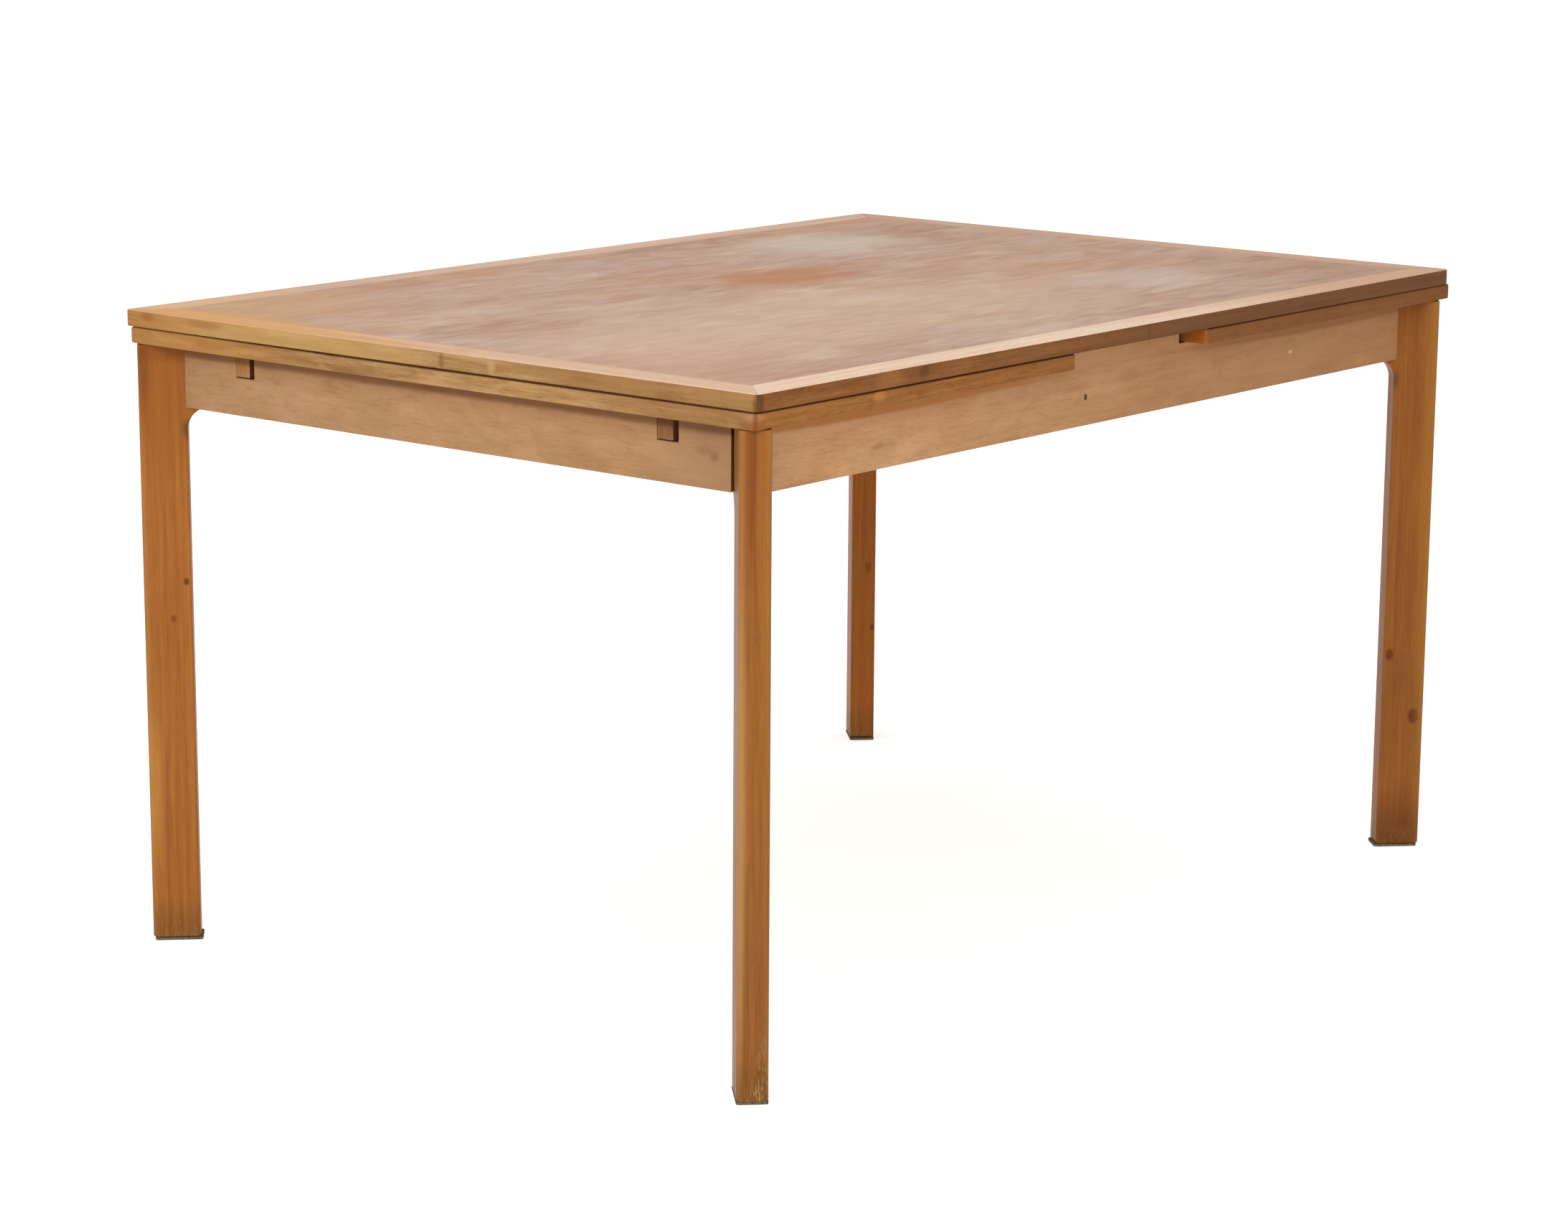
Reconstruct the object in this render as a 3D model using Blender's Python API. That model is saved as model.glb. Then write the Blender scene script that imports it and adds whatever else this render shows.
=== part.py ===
"""Extending dining table with two draw leaves, in metres, +Z up.

The origin is on the floor under the middle of the top. X runs along the table and Y across it.
The loose top covers two leaves, one at each end. Each leaf rides on two long bearers, which run
through notches in the end apron and under a fixed centre board.
"""

import math

import bmesh
import bpy
from mathutils import Vector

# Overall sizes
TABLE_HEIGHT = 0.714
TOP_LENGTH = 1.300
TOP_WIDTH = 0.900
TOP_THICKNESS = 0.018

# Solid wood lipping round the veneered panels of the top and the leaves
LIPPING_WIDTH = 0.040
CORNER_RADIUS = 0.007
TOP_EASE = 0.0012
LEAF_EASE = 0.002

# Draw leaves
LEAF_SIDE_INSET = 0.004
LEAF_THICKNESS = 0.0175
LEAF_SIDE_SHIFT = 0.002
LEAF_B_DRAWN = 0.0085

# Bearers under the leaves, with the stop under each tail
BEARER_WIDTH = 0.021
BEARER_DEPTH = 0.0275
BEARER_FROM_SIDE = 0.148
BEARER_PASSING_GAP = 0.011
STOP_LENGTH = 0.016
STOP_HEIGHT = 0.014

# Aprons
APRON_INSET = 0.034
APRON_HEIGHT = 0.070
APRON_THICKNESS = 0.022
APRON_EASE = 0.001
OPEN_JOINT = 0.003
NOTCH_TIGHT_SIDE = 0.0005
NOTCH_OPEN_SIDE = 0.007
NOTCH_UNDER_BEARER = 0.0012

# Centre board, its cleats and the rail below the bearers
CENTRE_WIDTH = 0.240
CLEAT_LENGTH = 0.200
CLEAT_SECTION = 0.020
CLEAT_SCREW_SPACING = 0.140
RAIL_WIDTH = 0.045
RAIL_THICKNESS = 0.020
RAIL_HOUSING = 0.006
PEG_RADIUS = 0.011
PEG_LENGTH = 0.036
PEG_SPACING = 0.300
PEG_CHAMFER = 0.002

# Legs: planks set on the diagonal of each corner, with a head that runs in between the aprons
LEG_SETBACK = 0.013
LEG_DEPTH = 0.053
LEG_WIDTH = 0.0325
LEG_FRONT_ROUND = 0.006
LEG_BACK_ROUND = 0.0025
LEG_FOOT_EASE = 0.0015
HEAD_SWEEP = 0.025
HEAD_OVERRUN = 0.003
PAD_THICKNESS = 0.003
PAD_SHIFT = 0.0025

# Corner braces and the bolts that draw the legs in
BRACE_THICKNESS = 0.028
BRACE_HEIGHT = 0.050
BOLT_RADIUS = 0.004
BOLT_BITE = 0.042
BOLT_TAIL = 0.005
BOLT_POINT = 0.002
NUT_ACROSS_FLATS = 0.013
NUT_HEIGHT = 0.0065
NUT_FLANGE_RADIUS = 0.010
NUT_FLANGE_HEIGHT = 0.0016

# Countersunk screws that hold the centre board down on its cleats
SCREW_RADIUS = 0.002
SCREW_HEAD_RADIUS = 0.004
SCREW_HEAD_HEIGHT = 0.0025
SCREW_BITE = 0.011

# Clearances
FIT_GAP = 0.0003
SLIDE_GAP = 0.0005
UNDER_TOP_GAP = 0.0008
LEAF_END_GAP = 0.001
PEG_GAP = 0.0006

# Steps that round shapes are drawn with
CORNER_STEPS = 6
ROUND_STEPS = 3
EASE_STEPS = 2
SWEEP_STEPS = 8
TURNED_STEPS = 20
NUT_STEPS = 24

# Heights worked out from the top down
SLAB_UNDERSIDE = TABLE_HEIGHT - TOP_THICKNESS
REST_LEVEL = SLAB_UNDERSIDE - FIT_GAP
LEAF_UNDERSIDE = SLAB_UNDERSIDE - UNDER_TOP_GAP - LEAF_THICKNESS
APRON_TOP = LEAF_UNDERSIDE - SLIDE_GAP
APRON_UNDERSIDE = APRON_TOP - APRON_HEIGHT
BEARER_TOP = LEAF_UNDERSIDE - FIT_GAP
BEARER_UNDERSIDE = BEARER_TOP - BEARER_DEPTH
NOTCH_LEVEL = BEARER_UNDERSIDE - NOTCH_UNDER_BEARER
BOARD_UNDERSIDE = BEARER_TOP + SLIDE_GAP
RAIL_TOP = BEARER_UNDERSIDE - SLIDE_GAP
BOLT_LEVEL = APRON_UNDERSIDE + APRON_HEIGHT / 2
LEG_BOTTOM = PAD_THICKNESS + FIT_GAP

# Plan sizes worked out from the above
APRON_BACK = APRON_INSET + APRON_THICKNESS
BOARD_HALF_LENGTH = TOP_WIDTH / 2 - APRON_BACK - FIT_GAP
LEAF_WIDTH = TOP_WIDTH - 2 * LEAF_SIDE_INSET
LEAF_INNER_END = CENTRE_WIDTH / 2 + LEAF_END_GAP
LEAF_OUTER_END = TOP_LENGTH / 2
LEAF_TRAVEL = LEAF_OUTER_END - LEAF_INNER_END
BEARER_OUTER_END = TOP_LENGTH / 2 - APRON_INSET
BEARER_TAIL = RAIL_WIDTH / 2 + SLIDE_GAP + LEAF_TRAVEL + STOP_LENGTH
BEARER_SPACING = TOP_WIDTH - 2 * BEARER_FROM_SIDE
INNER_BEARER_SPACING = BEARER_SPACING - 2 * (BEARER_WIDTH + BEARER_PASSING_GAP)
LEG_BACK = LEG_SETBACK + LEG_DEPTH
HEAD_BACK = math.sqrt(2) * APRON_BACK + LEG_WIDTH / 2 + HEAD_OVERRUN
BRACE_FRONT = HEAD_BACK + FIT_GAP
BRACE_BACK = BRACE_FRONT + BRACE_THICKNESS

# What the top and a leaf are each made of
TOP_BOARD = {
    "thickness": TOP_THICKNESS,
    "ease": TOP_EASE,
    "veneer": "top_veneer",
    "lipping": "top_lipping_wood",
}
LEAF_BOARD = {
    "thickness": LEAF_THICKNESS,
    "ease": LEAF_EASE,
    "veneer": "leaf_veneer",
    "lipping": "leaf_lipping_wood",
}

# Finishes: sRGB colour, roughness, metallic
FINISHES = {
    "leg_wood": ("#A3682F", 0.45, 0.0),
    "apron_wood": ("#B98C5F", 0.55, 0.0),
    "top_veneer": ("#BF9F84", 0.50, 0.0),
    "top_lipping_wood": ("#C99F6E", 0.50, 0.0),
    "leaf_veneer": ("#B98A5C", 0.50, 0.0),
    "leaf_lipping_wood": ("#B48650", 0.50, 0.0),
    "bearer_wood": ("#C09A6B", 0.60, 0.0),
    "frame_wood": ("#B99568", 0.65, 0.0),
    "felt": ("#4A3B2C", 0.95, 0.0),
    "steel": ("#9A9A98", 0.40, 1.0),
}


def linear(channel):
    """One sRGB channel, from 0 to 255, as a linear value."""
    share = channel / 255
    if share <= 0.04045:
        return share / 12.92
    return ((share + 0.055) / 1.055) ** 2.4


def finish(name):
    """The named finish as a material, made when it is first asked for."""
    found = bpy.data.materials.get(name)
    if found:
        return found
    hex_colour, roughness, metallic = FINISHES[name]
    made = bpy.data.materials.new(name)
    made.use_nodes = True
    shader = made.node_tree.nodes["Principled BSDF"]
    rgb = [linear(int(hex_colour[i : i + 2], 16)) for i in (1, 3, 5)]
    shader.inputs["Base Color"].default_value = (*rgb, 1.0)
    shader.inputs["Roughness"].default_value = roughness
    shader.inputs["Metallic"].default_value = metallic
    made.diffuse_color = (*rgb, 1.0)
    return made


def add_object(name, bm, finish_name, parent, place=(0, 0, 0), turn=0.0, smooth=False):
    """The mesh as a named object under its parent, placed and turned about Z."""
    bmesh.ops.recalc_face_normals(bm, faces=bm.faces)
    mesh = bpy.data.meshes.new(name)
    bm.to_mesh(mesh)
    bm.free()
    mesh.materials.append(finish(finish_name))
    if smooth:
        mesh.shade_smooth()
        mesh.set_sharp_from_angle(angle=math.radians(40))
    made = bpy.data.objects.new(name, mesh)
    bpy.context.scene.collection.objects.link(made)
    made.parent = parent
    made.location = place
    made.rotation_euler.z = turn
    return made


def add_empty(name, place=(0, 0, 0), turn=0.0):
    """An empty that carries the pieces of one sub-assembly."""
    made = bpy.data.objects.new(name, None)
    bpy.context.scene.collection.objects.link(made)
    made.location = place
    made.rotation_euler.z = turn
    return made


def cut_away(target, bm):
    """Cuts the mesh, given in the target's own frame, out of the target."""
    name = f"{target.name}_cutter_{len(target.modifiers)}"
    cutter = add_object(name, bm, "frame_wood", target)
    cutter.hide_render = True
    cutter.display_type = "WIRE"
    boolean = target.modifiers.new(name, "BOOLEAN")
    boolean.object = cutter
    boolean.operation = "DIFFERENCE"
    boolean.solver = "EXACT"


def swept(outline, along):
    """A solid made by drawing a flat outline of points along a vector."""
    bm = bmesh.new()
    face = bm.faces.new([bm.verts.new(point) for point in outline])
    drawn = bmesh.ops.extrude_face_region(bm, geom=[face])["geom"]
    moved = [item for item in drawn if isinstance(item, bmesh.types.BMVert)]
    bmesh.ops.translate(bm, vec=along, verts=moved)
    bmesh.ops.recalc_face_normals(bm, faces=bm.faces)
    return bm


def block(low, high):
    """A rectangular solid between two corners."""
    outline = [
        (low[0], low[1], low[2]),
        (high[0], low[1], low[2]),
        (high[0], high[1], low[2]),
        (low[0], high[1], low[2]),
    ]
    return swept(outline, (0, 0, high[2] - low[2]))


def arc(centre, radius, start, end, steps):
    """Points on an arc in a plane, with both ends, angles in degrees."""
    angles = [math.radians(start + (end - start) * i / steps) for i in range(steps + 1)]
    return [(centre[0] + radius * math.cos(a), centre[1] + radius * math.sin(a)) for a in angles]


def turned(profile):
    """A solid of revolution about X from (x, radius) points that start and end on the axis."""
    bm = bmesh.new()
    verts = [bm.verts.new((x, 0, radius)) for x, radius in profile]
    edges = [bm.edges.new(pair) for pair in zip(verts, verts[1:])]
    bmesh.ops.spin(
        bm,
        geom=verts + edges,
        cent=(0, 0, 0),
        axis=(1, 0, 0),
        angle=math.tau,
        steps=TURNED_STEPS,
        use_merge=True,
    )
    bmesh.ops.remove_doubles(bm, verts=bm.verts, dist=1e-6)
    bmesh.ops.recalc_face_normals(bm, faces=bm.faces)
    return bm


def point_up(bm, base):
    """Turns a shape made along X to stand along Z, with its start at the base point."""
    for vert in bm.verts:
        x, y, z = vert.co
        vert.co = Vector((base[0] - z, base[1] + y, base[2] + x))
    return bm


def lofted(rings):
    """A solid through a row of rings of points, closed at both ends."""
    bm = bmesh.new()
    rows = [[bm.verts.new(point) for point in ring] for ring in rings]
    for low, high in zip(rows, rows[1:]):
        for i, vert in enumerate(low):
            j = (i + 1) % len(low)
            bm.faces.new((vert, low[j], high[j], high[i]))
    bm.faces.new(rows[0])
    bm.faces.new(rows[-1])
    bmesh.ops.recalc_face_normals(bm, faces=bm.faces)
    return bm


def slice_off(bm, point, normal):
    """Cuts off what lies beyond a plane and closes the cut."""
    everything = bm.verts[:] + bm.edges[:] + bm.faces[:]
    cut = bmesh.ops.bisect_plane(
        bm, geom=everything, dist=1e-6, plane_co=point, plane_no=normal, clear_outer=True
    )["geom_cut"]
    rim = [item for item in cut if isinstance(item, bmesh.types.BMEdge)]
    bmesh.ops.edgeloop_fill(bm, edges=rim)


def round_edges(bm, edges, radius, steps):
    """Rounds the edges with a number of flat steps."""
    bmesh.ops.bevel(
        bm,
        geom=edges,
        offset=radius,
        offset_type="OFFSET",
        affect="EDGES",
        segments=steps,
        profile=0.5,
        material=-1,
        clamp_overlap=True,
    )


def lipping_outline(span):
    """A length of lipping from above, along X with its outer edge on Y = 0 and round corners."""
    half = span / 2
    left = arc((-half + CORNER_RADIUS, CORNER_RADIUS), CORNER_RADIUS, 180, 270, CORNER_STEPS)
    right = arc((half - CORNER_RADIUS, CORNER_RADIUS), CORNER_RADIUS, 270, 360, CORNER_STEPS)
    return left + right + [(half, LIPPING_WIDTH), (-half, LIPPING_WIDTH)]


def is_outer_rim(edge):
    """True for the level edges that run round the outer side of a length of lipping."""
    first, second = (vert.co for vert in edge.verts)
    level = abs(first.z - second.z) < FIT_GAP
    return level and max(first.y, second.y) < CORNER_RADIUS + FIT_GAP


def add_lipping(name, span, board, parent, place, turn):
    """A mitred length of lipping with eased outer edges. Each mitre has a fine open line."""
    outline = [(x, y, 0) for x, y in lipping_outline(span)]
    bm = swept(outline, (0, 0, board["thickness"]))
    round_edges(bm, [e for e in bm.edges if is_outer_rim(e)], board["ease"], EASE_STEPS)
    mitre = span / 2 - FIT_GAP / math.sqrt(2)
    slice_off(bm, (mitre, 0, 0), (1, 1, 0))
    slice_off(bm, (-mitre, 0, 0), (-1, 1, 0))
    return add_object(name, bm, board["lipping"], parent, place, turn)


def add_framed_panel(name, low, high, underside, board, parent):
    """A veneered panel inside four mitred lengths of solid lipping."""
    inner = LIPPING_WIDTH + FIT_GAP
    panel = block(
        (low[0] + inner, low[1] + inner, underside),
        (high[0] - inner, high[1] - inner, underside + board["thickness"]),
    )
    add_object(f"{name}_panel", panel, board["veneer"], parent)
    middle = ((low[0] + high[0]) / 2, (low[1] + high[1]) / 2)
    length = high[0] - low[0]
    width = high[1] - low[1]
    sides = (
        ("front", length, (middle[0], low[1], underside), 0),
        ("right", width, (high[0], middle[1], underside), 90),
        ("back", length, (middle[0], high[1], underside), 180),
        ("left", width, (low[0], middle[1], underside), 270),
    )
    for side, span, place, turn in sides:
        add_lipping(f"{name}_lipping_{side}", span, board, parent, place, math.radians(turn))


def add_top():
    """The loose top: veneered panel, lipping and the pegs that locate it in the centre board."""
    carrier = add_empty("top_lift", (0, 0, SLAB_UNDERSIDE))
    add_framed_panel(
        "top",
        (-TOP_LENGTH / 2, -TOP_WIDTH / 2),
        (TOP_LENGTH / 2, TOP_WIDTH / 2),
        0,
        TOP_BOARD,
        carrier,
    )
    profile = [
        (-PEG_LENGTH, 0),
        (-PEG_LENGTH, PEG_RADIUS - PEG_CHAMFER),
        (-PEG_LENGTH + PEG_CHAMFER, PEG_RADIUS),
        (-FIT_GAP, PEG_RADIUS),
        (-FIT_GAP, 0),
    ]
    for name, side in (("front", -1), ("back", 1)):
        peg = point_up(turned(profile), (0, side * PEG_SPACING / 2, 0))
        add_object(f"top_peg_{name}", peg, "bearer_wood", carrier, smooth=True)


def add_leaf(name, carrier, spacing):
    """One draw leaf with its bearers and stops, drawn out along the carrier's own +X."""
    half_width = LEAF_WIDTH / 2
    add_framed_panel(
        name,
        (LEAF_INNER_END, -half_width),
        (LEAF_OUTER_END, half_width),
        LEAF_UNDERSIDE,
        LEAF_BOARD,
        carrier,
    )
    for side_name, side in (("front", -1), ("back", 1)):
        near = side * spacing / 2 - BEARER_WIDTH / 2
        far = near + BEARER_WIDTH
        bearer = block(
            (-BEARER_TAIL, near, BEARER_UNDERSIDE), (BEARER_OUTER_END, far, BEARER_TOP)
        )
        add_object(f"{name}_bearer_{side_name}", bearer, "bearer_wood", carrier)
        stop_top = BEARER_UNDERSIDE - FIT_GAP
        stop = block(
            (-BEARER_TAIL, near, stop_top - STOP_HEIGHT),
            (-BEARER_TAIL + STOP_LENGTH, far, stop_top),
        )
        add_object(f"{name}_stop_{side_name}", stop, "frame_wood", carrier)


def add_apron(name, profile, parent, place, turn, left_gap=FIT_GAP, right_gap=FIT_GAP):
    """An apron along X, its outer face on Y = APRON_INSET, with ends cut to the legs' cheeks.

    Its place is under the middle of one side of the top, with its own Y pointing inwards.
    """
    bm = swept([(x, APRON_INSET, z) for x, z in profile], (0, APRON_THICKNESS, 0))
    outer = [e for e in bm.edges if all(v.co.y < APRON_INSET + FIT_GAP for v in e.verts)]
    under = [e for e in outer if all(v.co.z < APRON_UNDERSIDE + FIT_GAP for v in e.verts)]
    round_edges(bm, under, APRON_EASE, 1)
    half_side = max(x for x, z in profile)
    for way, gap in ((-1, left_gap), (1, right_gap)):
        end = half_side - (LEG_WIDTH / 2 + gap) * math.sqrt(2)
        slice_off(bm, (way * end, 0, 0), (way, 1, 0))
    return add_object(name, bm, "apron_wood", parent, place, turn)


def long_apron_profile():
    """A long apron from the side: level, with a raised middle that carries the top."""
    half = TOP_LENGTH / 2
    middle = CENTRE_WIDTH / 2
    return [
        (-half, APRON_UNDERSIDE),
        (half, APRON_UNDERSIDE),
        (half, APRON_TOP),
        (middle, APRON_TOP),
        (middle, REST_LEVEL),
        (-middle, REST_LEVEL),
        (-middle, APRON_TOP),
        (-half, APRON_TOP),
    ]


def end_apron_profile(spacing, shift):
    """An end apron from the side: level, with a notch for each of the leaf's two bearers."""
    half = TOP_WIDTH / 2
    profile = [(-half, APRON_UNDERSIDE), (half, APRON_UNDERSIDE), (half, APRON_TOP)]
    for side in (1, -1):
        middle = side * spacing / 2 + shift
        high = middle + BEARER_WIDTH / 2 + NOTCH_OPEN_SIDE
        low = middle - BEARER_WIDTH / 2 - NOTCH_TIGHT_SIDE
        profile += [(high, APRON_TOP), (high, NOTCH_LEVEL), (low, NOTCH_LEVEL), (low, APRON_TOP)]
    return profile + [(-half, APRON_TOP)]


def add_aprons(frame):
    """The four aprons. The end apron at the left stands open at the front leg."""
    half_rail = RAIL_WIDTH / 2 + FIT_GAP
    housing_low = (
        -half_rail,
        APRON_BACK - RAIL_HOUSING - FIT_GAP,
        RAIL_TOP - RAIL_THICKNESS - FIT_GAP,
    )
    housing_high = (half_rail, APRON_BACK + RAIL_HOUSING, RAIL_TOP + FIT_GAP)
    for name, side, turn in (("front", -1, 0.0), ("back", 1, math.pi)):
        place = (0, side * TOP_WIDTH / 2, 0)
        apron = add_apron(f"long_apron_{name}", long_apron_profile(), frame, place, turn)
        cut_away(apron, block(housing_low, housing_high))
    left = end_apron_profile(BEARER_SPACING, LEAF_SIDE_SHIFT)
    right = end_apron_profile(INNER_BEARER_SPACING, -LEAF_SIDE_SHIFT)
    quarter = math.pi / 2
    place = (TOP_LENGTH / 2, 0, 0)
    add_apron("end_apron_right", right, frame, place, quarter)
    place = (-TOP_LENGTH / 2, 0, 0)
    add_apron("end_apron_left", left, frame, place, -quarter, right_gap=OPEN_JOINT)


def screw_profile(grow):
    """A countersunk screw from its head along X, grown by a clearance for its blunt hole."""
    length = CLEAT_SECTION + FIT_GAP + SCREW_BITE + grow
    shank = SCREW_RADIUS + grow
    profile = [
        (-grow, 0),
        (-grow, SCREW_HEAD_RADIUS + grow),
        (SCREW_HEAD_HEIGHT, shank),
        (length - 2 * SCREW_RADIUS, shank),
    ]
    if grow:
        profile.append((length, shank))
    return profile + [(length, 0)]


def add_centre(frame):
    """The fixed centre board with its cleats and screws, and the rail below the bearers."""
    half_width = CENTRE_WIDTH / 2 - FIT_GAP
    board = add_object(
        "centre_board",
        block(
            (-half_width, -BOARD_HALF_LENGTH, BOARD_UNDERSIDE),
            (half_width, BOARD_HALF_LENGTH, REST_LEVEL),
        ),
        "frame_wood",
        frame,
    )
    hole = [(-PEG_LENGTH, 0), (-PEG_LENGTH, PEG_RADIUS + PEG_GAP)]
    hole += [(PEG_LENGTH, PEG_RADIUS + PEG_GAP), (PEG_LENGTH, 0)]
    for side in (-1, 1):
        cut_away(board, point_up(turned(hole), (0, side * PEG_SPACING / 2, BOARD_UNDERSIDE)))
    cleat_top = BOARD_UNDERSIDE - FIT_GAP
    cleat_underside = cleat_top - CLEAT_SECTION
    for side_name, side in (("front", -1), ("back", 1)):
        outer = side * BOARD_HALF_LENGTH
        inner = outer - side * CLEAT_SECTION
        cleat = add_object(
            f"cleat_{side_name}",
            block(
                (-CLEAT_LENGTH / 2, min(outer, inner), cleat_underside),
                (CLEAT_LENGTH / 2, max(outer, inner), cleat_top),
            ),
            "frame_wood",
            frame,
        )
        for end_name, end in (("left", -1), ("right", 1)):
            head = (end * CLEAT_SCREW_SPACING / 2, (outer + inner) / 2, cleat_underside)
            screw = point_up(turned(screw_profile(0.0)), head)
            add_object(f"screw_{side_name}_{end_name}", screw, "steel", frame, smooth=True)
            for target in (cleat, board):
                cut_away(target, point_up(turned(screw_profile(FIT_GAP)), head))
    rail_reach = TOP_WIDTH / 2 - APRON_BACK + RAIL_HOUSING
    rail = block(
        (-RAIL_WIDTH / 2, -rail_reach, RAIL_TOP - RAIL_THICKNESS),
        (RAIL_WIDTH / 2, rail_reach, RAIL_TOP),
    )
    add_object("middle_rail", rail, "frame_wood", frame)


def leg_mesh():
    """A leg in the frame of its corner: X runs in along the diagonal and Y across it."""
    sweep = min(HEAD_SWEEP, HEAD_BACK - LEG_BACK - HEAD_OVERRUN / 2)
    centre = (LEG_BACK + sweep, APRON_UNDERSIDE - sweep)
    profile = [(LEG_SETBACK, LEG_BOTTOM), (LEG_BACK, LEG_BOTTOM)]
    profile += arc(centre, sweep, 180, 90, SWEEP_STEPS)
    profile += [(HEAD_BACK, APRON_UNDERSIDE), (HEAD_BACK, APRON_TOP), (LEG_SETBACK, APRON_TOP)]
    half = LEG_WIDTH / 2
    bm = swept([(x, -half, z) for x, z in profile], (0, LEG_WIDTH, 0))
    lengthwise = [e for e in bm.edges if abs(e.verts[0].co.y - e.verts[1].co.y) < FIT_GAP]
    front = [e for e in lengthwise if all(v.co.x < LEG_SETBACK + FIT_GAP for v in e.verts)]
    round_edges(bm, front, LEG_FRONT_ROUND, ROUND_STEPS)
    back = [e for e in bm.edges if is_back_edge(e, half)]
    round_edges(bm, back, LEG_BACK_ROUND, EASE_STEPS)
    foot = [e for e in bm.edges if all(v.co.z < LEG_BOTTOM + FIT_GAP for v in e.verts)]
    round_edges(bm, foot, LEG_FOOT_EASE, 1)
    return bm


def is_back_edge(edge, half):
    """True for the edges down the leg's back corners and round under its head."""
    level = max(vert.co.z for vert in edge.verts) < APRON_UNDERSIDE + FIT_GAP
    cheek = all(abs(abs(vert.co.y) - half) < FIT_GAP for vert in edge.verts)
    same_side = edge.verts[0].co.y * edge.verts[1].co.y > 0
    back = min(vert.co.x for vert in edge.verts) > LEG_BACK - FIT_GAP
    return level and cheek and same_side and back


def pad_mesh():
    """The thin pad under a leg, set a little further in than the leg."""
    half = LEG_WIDTH / 2
    low = (LEG_SETBACK + PAD_SHIFT, -half, 0)
    bm = block(low, (LEG_BACK + PAD_SHIFT, half, PAD_THICKNESS))
    corners = [e for e in bm.edges if abs(e.verts[0].co.z - e.verts[1].co.z) > FIT_GAP]
    round_edges(bm, corners, LEG_BACK_ROUND, EASE_STEPS)
    return bm


def brace_mesh():
    """The corner brace: a block with mitred ends that fits between two aprons."""
    apron_line = math.sqrt(2) * (APRON_BACK + FIT_GAP)
    front = BRACE_FRONT - apron_line
    back = BRACE_BACK - apron_line
    low = BOLT_LEVEL - BRACE_HEIGHT / 2
    outline = [
        (BRACE_FRONT, -front, low),
        (BRACE_BACK, -back, low),
        (BRACE_BACK, back, low),
        (BRACE_FRONT, front, low),
    ]
    return swept(outline, (0, 0, BRACE_HEIGHT))


def bolt_profile(grow):
    """The bolt from its point in the leg to its tail, grown by a clearance for its hole."""
    start = HEAD_BACK - BOLT_BITE - grow
    end = BRACE_BACK + FIT_GAP + NUT_FLANGE_HEIGHT + NUT_HEIGHT + BOLT_TAIL
    radius = BOLT_RADIUS + grow
    return [
        (start, 0),
        (start, radius - BOLT_POINT),
        (start + BOLT_POINT, radius),
        (end, radius),
        (end, 0),
    ]


def along_diagonal(bm):
    """Lifts a shape made along X to the height of the bolt."""
    bmesh.ops.translate(bm, vec=(0, 0, BOLT_LEVEL), verts=bm.verts)
    return bm


def nut_mesh():
    """A flanged hexagon nut on the bolt's axis."""
    start = BRACE_BACK + FIT_GAP
    shoulder = start + NUT_FLANGE_HEIGHT
    angles = [math.tau * i / NUT_STEPS for i in range(NUT_STEPS)]
    flange = [NUT_FLANGE_RADIUS] * NUT_STEPS
    flat = math.radians(60)
    hexagon = [NUT_ACROSS_FLATS / 2 / math.cos((a + flat / 2) % flat - flat / 2) for a in angles]
    rows = (
        (start, flange),
        (shoulder, flange),
        (shoulder, hexagon),
        (shoulder + NUT_HEIGHT, hexagon),
    )
    rings = []
    for x, radii in rows:
        ring = [
            (x, r * math.cos(a), BOLT_LEVEL + r * math.sin(a)) for a, r in zip(angles, radii)
        ]
        rings.append(ring)
    return lofted(rings)


def add_corner(name, x_side, y_side):
    """One leg with its pad, brace, bolt and nut, in a frame on the corner of the top."""
    turn = math.atan2(-y_side, -x_side)
    corner = add_empty(
        f"corner_{name}", (x_side * TOP_LENGTH / 2, y_side * TOP_WIDTH / 2, 0), turn
    )
    leg = add_object(f"leg_{name}", leg_mesh(), "leg_wood", corner)
    add_object(f"leg_pad_{name}", pad_mesh(), "felt", corner)
    brace = add_object(f"corner_brace_{name}", brace_mesh(), "frame_wood", corner)
    bolt = along_diagonal(turned(bolt_profile(0.0)))
    add_object(f"leg_bolt_{name}", bolt, "steel", corner, smooth=True)
    nut = add_object(f"leg_nut_{name}", nut_mesh(), "steel", corner)
    for target in (leg, brace, nut):
        cut_away(target, along_diagonal(turned(bolt_profile(FIT_GAP))))


def main():
    """Clears the scene and builds the table."""
    for old in list(bpy.data.objects):
        bpy.data.objects.remove(old, do_unlink=True)
    frame = add_empty("frame")
    for name, x_side, y_side in (
        ("front_left", -1, -1),
        ("front_right", 1, -1),
        ("back_left", -1, 1),
        ("back_right", 1, 1),
    ):
        add_corner(name, x_side, y_side)
    add_aprons(frame)
    add_centre(frame)
    add_top()
    leaf_a = add_empty("leaf_a_slide", (0, -LEAF_SIDE_SHIFT, 0), math.pi)
    add_leaf("leaf_a", leaf_a, BEARER_SPACING)
    leaf_b = add_empty("leaf_b_slide", (LEAF_B_DRAWN, -LEAF_SIDE_SHIFT, 0))
    add_leaf("leaf_b", leaf_b, INNER_BEARER_SPACING)


main()
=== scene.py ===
"""Dresses the extending dining table: timber finishes, eased edges, screws, studio and camera.

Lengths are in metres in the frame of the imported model: X along the table, Y across it, Z up.
Real sizes of patterns and wear are given in millimetres.
"""

import logging
import math
from abc import ABC, abstractmethod
from dataclasses import dataclass, replace
from enum import Enum
from typing import Any, Callable, Iterable, NamedTuple, Sequence

import bmesh
import bpy
from mathutils import Matrix, Vector

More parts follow.
